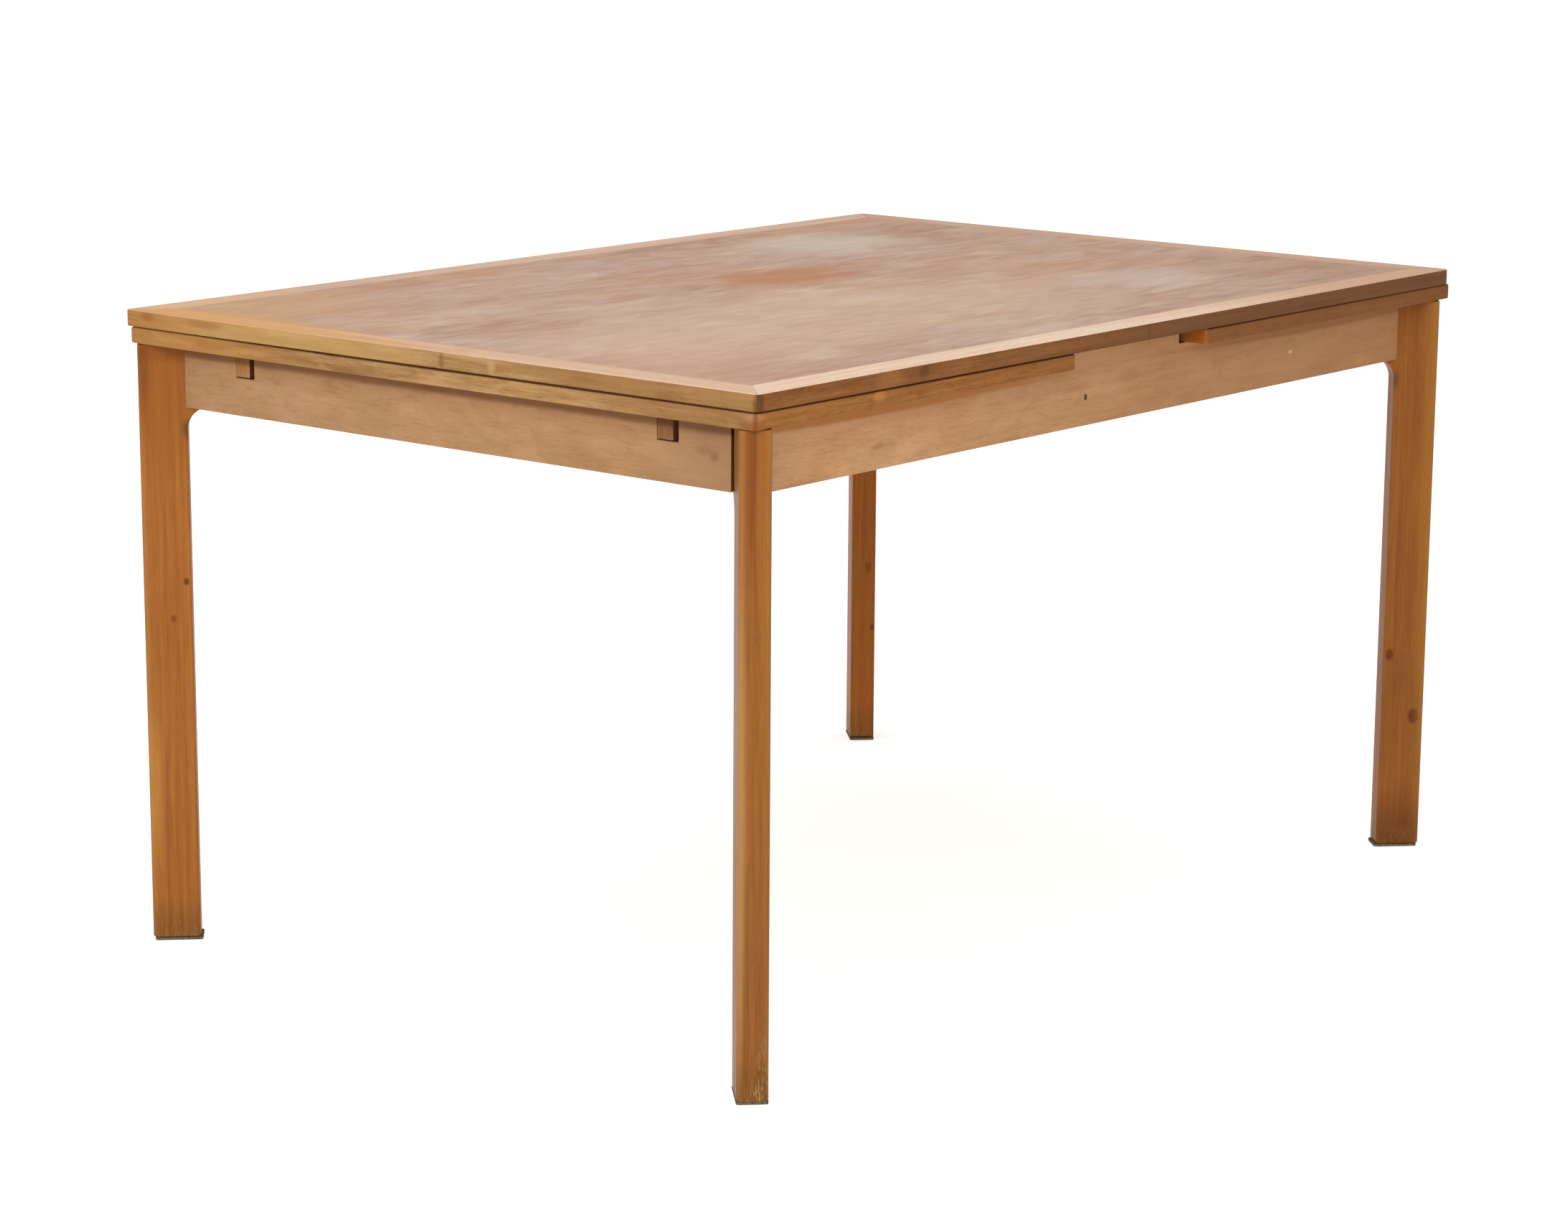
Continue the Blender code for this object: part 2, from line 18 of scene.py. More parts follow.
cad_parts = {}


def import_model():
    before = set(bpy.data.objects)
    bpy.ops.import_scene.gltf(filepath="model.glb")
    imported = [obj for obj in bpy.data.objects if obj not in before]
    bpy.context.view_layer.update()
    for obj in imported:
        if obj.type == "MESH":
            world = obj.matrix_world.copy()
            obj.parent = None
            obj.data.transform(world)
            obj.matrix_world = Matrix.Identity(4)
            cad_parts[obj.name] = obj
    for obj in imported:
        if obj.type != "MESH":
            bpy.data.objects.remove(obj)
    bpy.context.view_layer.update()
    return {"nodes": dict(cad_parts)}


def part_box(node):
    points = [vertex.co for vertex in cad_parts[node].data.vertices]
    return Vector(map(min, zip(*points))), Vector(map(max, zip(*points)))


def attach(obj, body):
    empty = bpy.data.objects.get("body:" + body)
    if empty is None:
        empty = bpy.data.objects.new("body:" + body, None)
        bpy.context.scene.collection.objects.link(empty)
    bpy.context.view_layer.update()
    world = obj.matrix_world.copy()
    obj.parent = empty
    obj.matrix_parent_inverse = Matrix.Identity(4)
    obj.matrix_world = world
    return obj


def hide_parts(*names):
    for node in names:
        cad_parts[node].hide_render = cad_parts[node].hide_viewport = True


LOG = logging.getLogger("table")
MM = 0.001
DIAGONAL = math.sqrt(2)
# The level of the top's upper side, the width of a leg and the gap of a close wooden joint.
TOP_LEVEL = 0.714
LEG_WIDTH = 32.5 * MM
FIT = 0.3 * MM
# Points this close to a line or plane lie on it. The two finer measures tell points apart where a
# cut crosses a mesh, and where the facets of a solid meet.
NEAR = 0.05 * MM
CUT_NEAR = 1e-7
FACET_NEAR = 0.005 * MM
# A face looks along an axis when FACING of its normal does, and lies flat when FLAT of it does.
FACING = 0.9
FLAT = 0.99
# Two faces that turn by less than LEVEL are one. Where they turn by more than ARRIS, their edge
# is eased, and by more than CRISP, it stays crisp in the shading.
LEVEL = math.radians(1)
ARRIS = math.radians(40)
CRISP = math.radians(50)

Point = Sequence[float]
Pair = tuple[float, float]
Triple = tuple[float, float, float]
Colour = tuple[float, float, float, float]
Socket = bpy.types.NodeSocket
Inputs = dict[int | str, Any] | Sequence[Any]
Mesh = bmesh.types.BMesh
Edge = bmesh.types.BMEdge
Face = bmesh.types.BMFace

# Sockets of a Mix node: its share, its two numbers, and its two colours with their result.
SHARE = 0
FIRST, SECOND = 2, 3
UNDER, OVER, MIXED = 6, 7, 2

# How the figure of a wood is mixed: the shares of streaks and fibres, and the stretches of the
# noise, which is 0.5 on average, over which pores, scratches and sheen set in.
MEAN = 0.5
STREAK_SHARE = 0.55
FIBRE_SHARE = 0.35
PORES = (0.58, 0.70)
SCRATCHES = (0.52, 0.60)
SHEEN = (0.30, 0.70)
SHEEN_SWING = 0.07


def srgb(hex_colour: str) -> Colour:
    """Turns an sRGB hex colour into linear values.

    Args:
        hex_colour: The colour as "#RRGGBB".

    Returns:
        Red, green, blue and an alpha of 1, linear.
    """
    shares = [byte / 255 for byte in bytes.fromhex(hex_colour[1:])]
    linear = [s / 12.92 if s <= 0.04045 else ((s + 0.055) / 1.055) ** 2.4 for s in shares]
    return (*linear, 1.0)


class Recipe:
    """The nodes of a material or of the surroundings while they are being put together."""

    def __init__(self, owner: bpy.types.Material | bpy.types.World, shader: str) -> None:
        """Starts from the shader that the owner's nodes come with.

        Args:
            owner: The material or the surroundings.
            shader: The shader's name.
        """
        owner.use_nodes = True
        self.tree = owner.node_tree
        self.shader = self.tree.nodes[shader]

    def set(self, node: bpy.types.Node, inputs: Inputs) -> None:
        """Links a node's inputs to other sockets, or gives them fixed values.

        Args:
            node: The node.
            inputs: Sockets or values, by the input's name or number, or in the node's own order.
        """
        for key, value in inputs.items() if isinstance(inputs, dict) else enumerate(inputs):
            if isinstance(value, Socket):
                self.tree.links.new(value, node.inputs[key])
            else:
                node.inputs[key].default_value = value

    def add(
        self,
        kind: str,
        inputs: Inputs = (),
        out: int | str = 0,
        stops: Iterable[tuple[float, Colour]] = (),
        **settings: Any,
    ) -> Socket:
        """Adds one node.

        Args:
            kind: The node's type without its "ShaderNode" prefix.
            inputs: Sockets or fixed values for its inputs.
            out: The output that is wanted, by name or number.
            stops: Places and colours of a ramp, if the node has one.
            settings: The node's own properties.

        Returns:
            That output.
        """
        node = self.tree.nodes.new("ShaderNode" + kind)
        for key, value in settings.items():
            setattr(node, key, value)
        self.set(node, inputs)
        for i, (place, colour) in enumerate(stops):
            elements = node.color_ramp.elements
            element = elements[i] if i < 2 else elements.new(place)
            element.position = place
            element.color = colour
        return node.outputs[out]


class Grain(Enum):
    """The axis that the grain of a board runs along."""

    ALONG_X = 0
    ALONG_Y = 1
    ALONG_Z = 2

    def scale(self, width_mm: float, length_mm: float) -> list[float]:
        """Works out how a pattern of that real width and length is stretched along the grain."""
        sizes = [length_mm if axis == self.value else width_mm for axis in range(3)]
        return [1 / (size * MM) for size in sizes]


class Layer(Enum):
    """The layers of a wood's figure: the finer layers each one holds, and how far it wanders."""

    BAND = (3.0, 0.7)
    STREAK = (4.0, 0.2)
    FIBRE = (2.0, 0.0)
    PORE = (1.0, 0.0)
    CLOUD = (3.0, 0.4)


@dataclass(frozen=True)
class Stain:
    """A soft-edged patch of another colour: a stain, a knot, a speck or grime."""

    centre: Triple
    radii: Triple
    colour: str
    strength: float
    soft: float
    ragged: float
    scratched: bool = False


@dataclass(frozen=True)
class Cloud:
    """Soft clouds of another colour, some drawn out along the grain, over a whole surface."""

    size_mm: Pair
    colour: str
    amount: float
    start: float = 0.42
    full: float = 0.68


class Tones(NamedTuple):
    """The colours of a wood across its figure, and the one that light faded it to."""

    light: str
    middle: str
    dark: str
    faded: str


@dataclass(frozen=True)
class Finish(ABC):
    """A surface that a piece can be given."""

    name: str

    @abstractmethod
    def compose(self, recipe: Recipe) -> None:
        """Puts the finish's nodes together in a new material."""

    def material(self) -> bpy.types.Material:
        """Gives the finish as a material, made when it is first asked for.

        Returns:
            The material.
        """
        known = bpy.data.materials.get(self.name)
        if known is None:
            known = bpy.data.materials.new(self.name)
            self.compose(Recipe(known, "Principled BSDF"))
        return known


@dataclass(frozen=True)
class Timber(Finish):
    """A wood surface: its tones, the sizes of its figure, its gloss and its marks of use."""

    tones: Tones
    grain: Grain = Grain.ALONG_X
    band_mm: Pair = (48.0, 900.0)
    streak_mm: Pair = (7.0, 380.0)
    fibre_mm: Pair = (1.8, 70.0)
    pore_mm: Pair = (0.9, 16.0)
    pore_depth: float = 0.35
    spread: float = 0.17
    fading_mm: Pair = (110.0, 170.0)
    fading: float = 0.3
    clouds: tuple[Cloud, ...] = ()
    roughness: float = 0.5
    gloss: float = 0.1
    bump_mm: float = 0.04
    stains: tuple[Stain, ...] = ()

    def figure(self, recipe: Recipe, place: Socket, layer: Layer, size_mm: Pair) -> Socket:
        """Adds one layer of the wood's figure.

        Args:
            recipe: The material that it belongs to.
            place: The socket with the coordinates.
            layer: The kind of layer.
            size_mm: Its width across the grain and length along it.

        Returns:
            A socket with values about the mean.
        """
        detail, warp = layer.value
        scale = self.grain.scale(*size_mm)
        stretched = recipe.add("Mapping", {"Vector": place, "Scale": scale})
        noise = {"Vector": stretched, "Scale": 1.0, "Detail": detail, "Distortion": warp}
        return recipe.add("TexNoise", noise)

    def marked(
        self, recipe: Recipe, figure: Sequence[Socket], colour: Socket, stain: Stain
    ) -> Socket:
        """Lays one stain over the colour so far, its edge drawn out along the grain.

        Args:
            recipe: The material that it belongs to.
            figure: Sockets with the coordinates, the streaks and the pores, which break up a
                scratched patch.
            colour: The colour so far.
            stain: The mark.

        Returns:
            The socket with the new colour.
        """
        place, streak, pore = figure
        scale = [1 / r for r in stain.radii]
        shift = [-c / r for c, r in zip(stain.centre, stain.radii)]
        local = recipe.add("Mapping", {"Vector": place, "Location": shift, "Scale": scale})
        reach = recipe.add("VectorMath", (local,), "Value", operation="LENGTH")
        torn = recipe.add("Math", (streak, stain.ragged, reach), operation="MULTIPLY_ADD")
        rim = 1 + stain.ragged * MEAN
        fall = (torn, rim - stain.soft, rim + stain.soft, stain.strength, 0.0)
        mask = recipe.add("MapRange", fall, interpolation_type="SMOOTHSTEP")
        if stain.scratched:
            scratch = recipe.add("MapRange", (pore, *SCRATCHES))
            mask = recipe.add("Math", (mask, scratch), operation="MULTIPLY")
        over = {SHARE: mask, UNDER: colour, OVER: srgb(stain.colour)}
        return recipe.add("Mix", over, MIXED, data_type="RGBA")

    def compose(self, recipe: Recipe) -> None:
        """Puts the wood together: figure, clouds, pores, marks and sheen.

        Args:
            recipe: The new material.
        """
        place = recipe.add("TexCoord", out="Object")
        band = self.figure(recipe, place, Layer.BAND, self.band_mm)
        streak = self.figure(recipe, place, Layer.STREAK, self.streak_mm)
        fibre = self.figure(recipe, place, Layer.FIBRE, self.fibre_mm)
        pore = self.figure(recipe, place, Layer.PORE, self.pore_mm)
        broad = recipe.add("Mix", {SHARE: STREAK_SHARE, FIRST: band, SECOND: streak})
        grain = recipe.add("Mix", {SHARE: FIBRE_SHARE, FIRST: broad, SECOND: fibre})
        light, middle, dark, faded = self.tones
        steps = (MEAN - self.spread, MEAN, MEAN + self.spread)
        stops = zip(steps, (srgb(dark), srgb(middle), srgb(light)))
        colour = recipe.add("ValToRGB", (grain,), stops=stops)
        for cloud in (Cloud(self.fading_mm, faded, self.fading), *self.clouds):
            drift = self.figure(recipe, place, Layer.CLOUD, cloud.size_mm)
            share = recipe.add("MapRange", (drift, cloud.start, cloud.full, 0.0, cloud.amount))
            over = {SHARE: share, UNDER: colour, OVER: srgb(cloud.colour)}
            colour = recipe.add("Mix", over, MIXED, data_type="RGBA")
        pores = recipe.add("MapRange", (pore, *PORES, 0.0, self.pore_depth))
        over = {SHARE: pores, UNDER: colour, OVER: srgb(dark)}
        colour = recipe.add("Mix", over, MIXED, data_type="RGBA", blend_type="MULTIPLY")
        for stain in self.stains:
            colour = self.marked(recipe, (place, streak, pore), colour, stain)
        sheen = (streak, *SHEEN, self.roughness + SHEEN_SWING, self.roughness - SHEEN_SWING)
        height = recipe.add("Math", (fibre, pores), operation="SUBTRACT")
        bump = {"Height": height, "Distance": self.bump_mm * MM, "Strength": 1.0}
        surface = {
            "Base Color": colour,
            "Specular IOR Level": self.gloss,
            "Roughness": recipe.add("MapRange", sheen),
            "Normal": recipe.add("Bump", bump),
        }
        recipe.set(recipe.shader, surface)


@dataclass(frozen=True)
class Felt(Finish):
    """Pressed wool felt: dark, fully matt, with a short uneven nap."""

    name: str = "pressed_felt"
    colour: str = "#4A3D2E"
    dusty: str = "#6E6350"
    dust: Pair = (0.35, 0.70)
    nap_mm: float = 2.2
    nap_depth_mm: float = 0.4
    roughness: float = 0.95

    def compose(self, recipe: Recipe) -> None:
        """Puts the felt together.

        Args:
            recipe: The new material.
        """
        place = recipe.add("TexCoord", out="Object")
        nap = {"Vector": place, "Scale": 1 / (self.nap_mm * MM), "Detail": 4.0}
        fuzz = recipe.add("TexNoise", nap)
        stops = zip(self.dust, (srgb(self.colour), srgb(self.dusty)))
        bump = {"Height": fuzz, "Distance": self.nap_depth_mm * MM}
        surface = {
            "Base Color": recipe.add("ValToRGB", (fuzz,), stops=stops),
            "Roughness": self.roughness,
            "Normal": recipe.add("Bump", bump),
        }
        recipe.set(recipe.shader, surface)


@dataclass(frozen=True)
class PlatedSteel(Finish):
    """Zinc-plated steel hardware: grey, fine-scratched, dulled in patches."""

    name: str = "dulled_zinc_plate"
    colour: str = "#A8A7A2"
    dull: str = "#77736B"
    dulling: Pair = (0.40, 0.66)
    roughness: Pair = (0.28, 0.50)
    patch_mm: float = 5.0
    scratch_mm: float = 0.6
    scratch_depth_mm: float = 0.02

    def compose(self, recipe: Recipe) -> None:
        """Puts the plated steel together.

        Args:
            recipe: The new material.
        """
        place = recipe.add("TexCoord", out="Object")
        patch = {"Vector": place, "Scale": 1 / (self.patch_mm * MM), "Detail": 3.0}
        cloud = recipe.add("TexNoise", patch)
        stops = zip(self.dulling, (srgb(self.colour), srgb(self.dull)))
        fine = {"Vector": place, "Scale": 1 / (self.scratch_mm * MM), "Detail": 2.0}
        scratch = recipe.add("TexNoise", fine)
        bump = {"Height": scratch, "Distance": self.scratch_depth_mm * MM}
        surface = {
            "Base Color": recipe.add("ValToRGB", (cloud,), stops=stops),
            "Metallic": 1.0,
            "Roughness": recipe.add("MapRange", (cloud, *SHEEN, *self.roughness)),
            "Normal": recipe.add("Bump", bump),
        }
        recipe.set(recipe.shader, surface)


# Marks on the top, in metres from its middle: what stood on it, was spilt on it or kept light off.
# They reach 12 mm into the wood, so that none of them shows on the underside.
MARK_DEPTH = 12.0 * MM
MARK_RAGGED = 0.7
TOP_STAINS = tuple(
    Stain((x, y, TOP_LEVEL), (long, wide, MARK_DEPTH), colour, strength, soft, MARK_RAGGED)
    for x, y, long, wide, colour, strength, soft in (
        (0.040, 0.095, 0.088, 0.070, "#AA7350", 0.72, 0.45),
        (0.140, 0.097, 0.075, 0.050, "#AC7A5A", 0.35, 0.60),
        (0.352, 0.275, 0.100, 0.072, "#C2BAA8", 0.46, 0.65),
        (0.356, -0.097, 0.075, 0.050, "#B3825C", 0.38, 0.60),
        (0.225, 0.010, 0.080, 0.045, "#AC8468", 0.30, 0.60),
        (0.340, -0.215, 0.100, 0.055, "#C3B4A6", 0.35, 0.60),
        (0.480, -0.100, 0.060, 0.080, "#B1876E", 0.35, 0.60),
        (0.545, -0.320, 0.130, 0.120, "#A07A66", 0.40, 0.60),
        (0.490, 0.390, 0.140, 0.050, "#B5866A", 0.40, 0.60),
        (-0.530, 0.340, 0.130, 0.100, "#BC9264", 0.45, 0.60),
        (-0.618, 0.290, 0.034, 0.150, "#BE9468", 0.60, 0.60),
        (-0.570, -0.260, 0.060, 0.150, "#B08670", 0.30, 0.60),
        (-0.290, 0.380, 0.180, 0.035, "#AF8562", 0.35, 0.60),
        (-0.200, -0.150, 0.400, 0.150, "#CDB49A", 0.35, 0.60),
    )
)

# Painted shade of the gap between the top and the leaves below it: least at the far corners.
SIDE_JOINT_SHADE = Stain((-0.25, 0.0, 0.6955), (0.80, 5.0, 0.0014), "#341808", 0.85, 0.4, 0.0)
END_JOINT_SHADE = Stain((0.0, -0.12, 0.6955), (5.0, 0.50, 0.0014), "#341808", 0.85, 0.4, 0.0)

# The near corner of the top is painted darker. At the leaf's corner below it, the pale patch is
# wear,
# and the two dark ones are painted shade.
TOP_CORNER_DARKER = Stain((-0.647, -0.449, 0.703), (0.007, 0.005, 0.014), "#482C12", 0.7, 0.5, 0.4)
LEAF_CORNER_WEAR_AND_SHADE = (
    Stain((-0.650, -0.448, 0.681), (0.016, 0.016, 0.010), "#7A4A26", 0.60, 0.5, 0.6),
    Stain((-0.646, -0.446, 0.690), (0.012, 0.012, 0.004), "#B98A5E", 0.28, 0.6, 0.9),
    Stain((-0.648, -0.446, 0.686), (0.003, 0.003, 0.012), "#6A3216", 0.60, 0.5, 0.3),
)

# Sliced oak veneer, oiled and then faded by years of daylight: greyish pink, flecked along the
# grain, with no gloss. The flecks are drawn about three times as coarse as the real pores.
TOP_VENEER = Timber(
    "faded_oak_veneer",
    Tones("#C1A897", "#AD8D7B", "#8C6854", "#B8A99F"),
    band_mm=(85.0, 340.0),
    streak_mm=(17.0, 72.0),
    fibre_mm=(4.5, 36.0),
    pore_mm=(3.0, 22.0),
    pore_depth=0.12,
    spread=0.26,
    clouds=(
        Cloud((38.0, 105.0), "#A0755A", 0.32, 0.50, 0.70),
        Cloud((46.0, 100.0), "#CBB89F", 0.36, 0.50, 0.72),
        Cloud((130.0, 240.0), "#BD9669", 0.25, 0.50, 0.70),
    ),
    roughness=0.6,
    gloss=0.05,
    stains=TOP_STAINS,
)
# Solid oak planed flush with the veneer: the front length is bleached to cream, with painted
# shade that turns it browner towards its right end.
SIDE_LIPPING = Timber(
    "sun_bleached_oak_lipping",
    Tones("#DEC7B1", "#D4B69B", "#C39B7B", "#DECAB7"),
    stains=(Stain((0.70, -0.432, TOP_LEVEL), (0.45, 0.2, 0.2), "#BE9272", 0.8, 0.5, 0.6),),
)
# The same lipping along the back: as pink and dull as the veneer beside it, honey at the left.
BACK_LIPPING = Timber(
    "dull_oak_lipping",
    Tones("#D0B49E", "#C5A58D", "#AE8A70", "#CCB3A0"),
    stains=(Stain((-0.62, 0.432, TOP_LEVEL), (0.16, 0.1, 0.2), "#CFA67C", 0.7, 0.6, 0.6),),
)
# Solid oak across the left end: pink, turning to honey at the far corner.
END_LIPPING = Timber(
    "pink_faded_oak_lipping",
    Tones("#D2B39A", "#C8A385", "#B08763", "#CCB098"),
    Grain.ALONG_Y,
    stains=(Stain((-0.65, 0.46, TOP_LEVEL), (0.2, 0.36, 0.5), "#C6904E", 0.75, 0.6, 0.6),),
)
# The length across the right end is as brown as the veneer beside it.
FAR_END_LIPPING = Timber(
    "brown_faded_oak_lipping",
    Tones("#C6A790", "#BA967C", "#A27C61", "#C0A28A"),
    Grain.ALONG_Y,
)
# Gloss of handled edges and sawn ends.
EDGE_GLOSS = 0.04
# Long edge of the top: oak planed along the grain and darkened by hands to a dull brown, the
# right half from another length of wood, with a few deeper smudges.
TOP_SIDE_EDGE = Timber(
    "handled_oak_edge",
    Tones("#916034", "#7C4E29", "#5E381F", "#7F5128"),
    gloss=EDGE_GLOSS,
    clouds=(Cloud((14.0, 70.0), "#5E3A1C", 0.45, 0.5, 0.7),),
    stains=(
        Stain((0.50, -0.45, 0.705), (0.62, 0.1, 0.1), "#5E3D26", 0.68, 0.35, 0.3),
        Stain((0.0103, -0.45, 0.705), (0.0012, 0.1, 0.1), "#4A2A16", 0.5, 0.5, 0.0),
        Stain((-0.389, -0.45, 0.706), (0.008, 0.05, 0.006), "#4E2E16", 0.5, 0.5, 0.5),
        Stain((-0.445, -0.45, 0.704), (0.020, 0.05, 0.010), "#8E5F35", 0.5, 0.5, 0.5),
        TOP_CORNER_DARKER,
        SIDE_JOINT_SHADE,
    ),
)
# End edge of the top: oak gone olive with age and grime, honey at the far corner, browner and
# darker at the near one, pieced together once along its length.
TOP_END_EDGE = Timber(
    "olive_aged_oak_edge",
    Tones("#A5865C", "#926F47", "#715232", "#A0814F"),
    Grain.ALONG_Y,
    gloss=EDGE_GLOSS,
    clouds=(
        Cloud((12.0, 60.0), "#6E4E28", 0.5, 0.48, 0.66),
        Cloud((16.0, 90.0), "#B4966A", 0.4, 0.5, 0.7),
    ),
    stains=(
        Stain((-0.65, 0.42, 0.705), (0.2, 0.11, 0.1), "#A46B33", 0.5, 0.6, 1.2),
        Stain((-0.65, 0.19, 0.705), (0.2, 0.17, 0.1), "#B08B55", 0.6, 0.6, 0.9),
        Stain((-0.65, -0.34, 0.705), (0.2, 0.24, 0.1), "#7E5630", 0.6, 0.6, 0.9),
        Stain((-0.65, 0.413, 0.7091), (0.2, 0.010, 0.004), "#7C4E1C", 0.55, 0.6, 0.6),
        Stain((-0.65, 0.322, 0.7087), (0.2, 0.030, 0.004), "#7E5022", 0.50, 0.6, 0.6),
        Stain((-0.65, -0.032, 0.7050), (0.2, 0.0034, 0.008), "#6E481E", 0.6, 0.6, 0.3),
        Stain((-0.65, -0.102, 0.7040), (0.2, 0.005, 0.008), "#BC9868", 0.35, 0.6, 0.6),
        TOP_CORNER_DARKER,
        END_JOINT_SHADE,
    ),
)
# Long edge of a leaf: oak that lay shaded under the top and kept its orange oil.
LEAF_SIDE_EDGE = Timber(
    "orange_oiled_oak_edge",
    Tones("#9A6734", "#88572A", "#6D4125", "#8E6030"),
    gloss=EDGE_GLOSS,
    clouds=(Cloud((14.0, 60.0), "#6E421A", 0.4, 0.5, 0.7),),
    stains=(
        Stain((0.40, -0.448, 0.686), (0.42, 0.1, 0.1), "#6E4526", 0.65, 0.4, 0.3),
        Stain((-0.459, -0.448, 0.690), (0.010, 0.05, 0.005), "#B5763C", 0.5, 0.5, 0.5),
        *LEAF_CORNER_WEAR_AND_SHADE,
        SIDE_JOINT_SHADE,
    ),
)
# End edge of a leaf: oak yellowed by light from the end, with grime in soft patches and honey at
# the far corner.
LEAF_END_EDGE = Timber(
    "yellow_aged_oak_edge",
    Tones("#A88355", "#956F47", "#735232", "#A17F4C"),
    Grain.ALONG_Y,
    gloss=EDGE_GLOSS,
    clouds=(
        Cloud((12.0, 70.0), "#6F4E2B", 0.45, 0.5, 0.68),
        Cloud((16.0, 90.0), "#B39463", 0.4, 0.5, 0.7),
    ),
    stains=(
        Stain((-0.65, 0.40, 0.686), (0.2, 0.17, 0.1), "#A06C34", 0.55, 0.6, 0.9),
        Stain((-0.65, -0.38, 0.686), (0.2, 0.12, 0.1), "#76502E", 0.5, 0.6, 0.9),
        *LEAF_CORNER_WEAR_AND_SHADE,
        END_JOINT_SHADE,
    ),
)
# Inner end of a leaf: oak that light hardly reached, still the red-orange of fresh oil.
LEAF_INNER_EDGE = Timber(
    "fresh_orange_oak_edge",
    Tones("#975B29", "#864B1B", "#673217", "#915625"),
    Grain.ALONG_Y,
)
# Upper face of a leaf: oak veneer shut away from light, warm honey brown with a low sheen.
LEAF_VENEER = Timber(
    "oiled_oak_veneer",
    Tones("#C68F58", "#B47C47", "#935E31", "#BC8A58"),
    roughness=0.42,
)
# Solid oak round that veneer: the same oil, a shade lighter, grain along each length.
LEAF_UPPER_SIDE = Timber(
    "oiled_oak_side_lipping",
    Tones("#D09C62", "#C08850", "#A06B38", "#C8965F"),
)
LEAF_UPPER_END = replace(LEAF_UPPER_SIDE, name="oiled_oak_end_lipping", grain=Grain.ALONG_Y)
# Long aprons: sawn-veneered oak, sanded and faded to a dry pinkish tan in soft blotches, with
# painted shade and dirt under the leaves and a few filled nail holes. The fine grain is drawn
# about twice as coarse as it is.
LONG_APRON = Timber(
    "faded_oak_long_apron",
    Tones("#B79067", "#A97D55", "#916743", "#B7926B"),
    streak_mm=(8.0, 150.0),
    fibre_mm=(2.2, 30.0),
    pore_mm=(1.2, 12.0),
    pore_depth=0.18,
    spread=0.28,
    clouds=(
        Cloud((34.0, 80.0), "#BE8F6A", 0.4, 0.48, 0.68),
        Cloud((22.0, 60.0), "#92653F", 0.35, 0.52, 0.7),
    ),
    roughness=0.58,
    stains=(
        Stain((0.50, -0.416, 0.642), (0.60, 0.2, 0.3), "#8C6039", 0.48, 0.6, 0.6),
        Stain((0.0, -0.416, 0.593), (5.0, 0.05, 0.004), "#87582F", 0.4, 0.6, 0.8),
        # The bands at 0.668 are painted shade with dirt under the leaves.
        Stain((-0.385, -0.416, 0.6680), (0.26, 0.05, 0.0055), "#9C6632", 0.85, 0.35, 0.3),
        Stain((0.385, -0.416, 0.6680), (0.26, 0.05, 0.0055), "#7E5029", 0.6, 0.35, 0.3),
        Stain((-0.0582, -0.416, 0.6383), (0.0030, 0.004, 0.0034), "#3E2414", 0.9, 0.3, 0.2),
        Stain((0.3515, -0.416, 0.6427), (0.0036, 0.004, 0.0018), "#DDC09C", 0.45, 0.5, 0.3),
        Stain((-0.4206, -0.416, 0.6307), (0.010, 0.004, 0.0035), "#8A5A36", 0.5, 0.7, 0.9),
    ),
)
# End aprons: the same, a little greyer, with a dull patch and rubbed marks beside the near leg.
END_APRON = replace(
    LONG_APRON,
    name="faded_oak_end_apron",
    tones=Tones("#A2805B", "#97724E", "#835C3A", "#A1805D"),
    grain=Grain.ALONG_Y,
    clouds=(
        Cloud((34.0, 80.0), "#AC8463", 0.4, 0.48, 0.68),
        Cloud((22.0, 60.0), "#83603D", 0.35, 0.52, 0.7),
    ),
    stains=(
        Stain((-0.616, -0.39, 0.635), (0.2, 0.09, 0.2), "#856548", 0.55, 0.6, 0.6),
        Stain((-0.616, 0.0, 0.593), (0.05, 5.0, 0.004), "#7C5430", 0.4, 0.6, 0.8),
        # A band of painted shade under the leaves.
        Stain((-0.616, 0.0, 0.6695), (0.05, 5.0, 0.006), "#522A0C", 0.62, 0.6, 0.3),
        Stain((-0.616, -0.3676, 0.6404), (0.004, 0.005, 0.004), "#6E4A2E", 0.55, 0.7, 0.9),
        Stain((-0.616, -0.3538, 0.6451), (0.004, 0.010, 0.004), "#7E583A", 0.5, 0.7, 0.9),
    ),
)
# Legs: solid oak planed on all sides and oiled deep, a warm brown with soft streaks down the
# grain and a low sheen. Each leg has tones of its own.
LEG_FADED = "#8E5A22"
LEG_OAK = Timber(
    "oiled_oak_leg",
    Tones("#A1611C", "#8E511B", "#6D3A19", LEG_FADED),
    Grain.ALONG_Z,
    band_mm=(18.0, 600.0),
    streak_mm=(6.0, 380.0),
    fibre_mm=(2.2, 60.0),
    pore_mm=(1.8, 10.0),
    pore_depth=0.1,
    spread=0.25,
    roughness=0.42,
)


@dataclass(frozen=True)
class LegLook:
    """How one leg took the oil and wore: its tones, its own marks, and how strong the painted
    highlight on its arrises is.
    """

    tones: Tones
    stains: tuple[Stain, ...]
    arris_highlight: float = 0.2


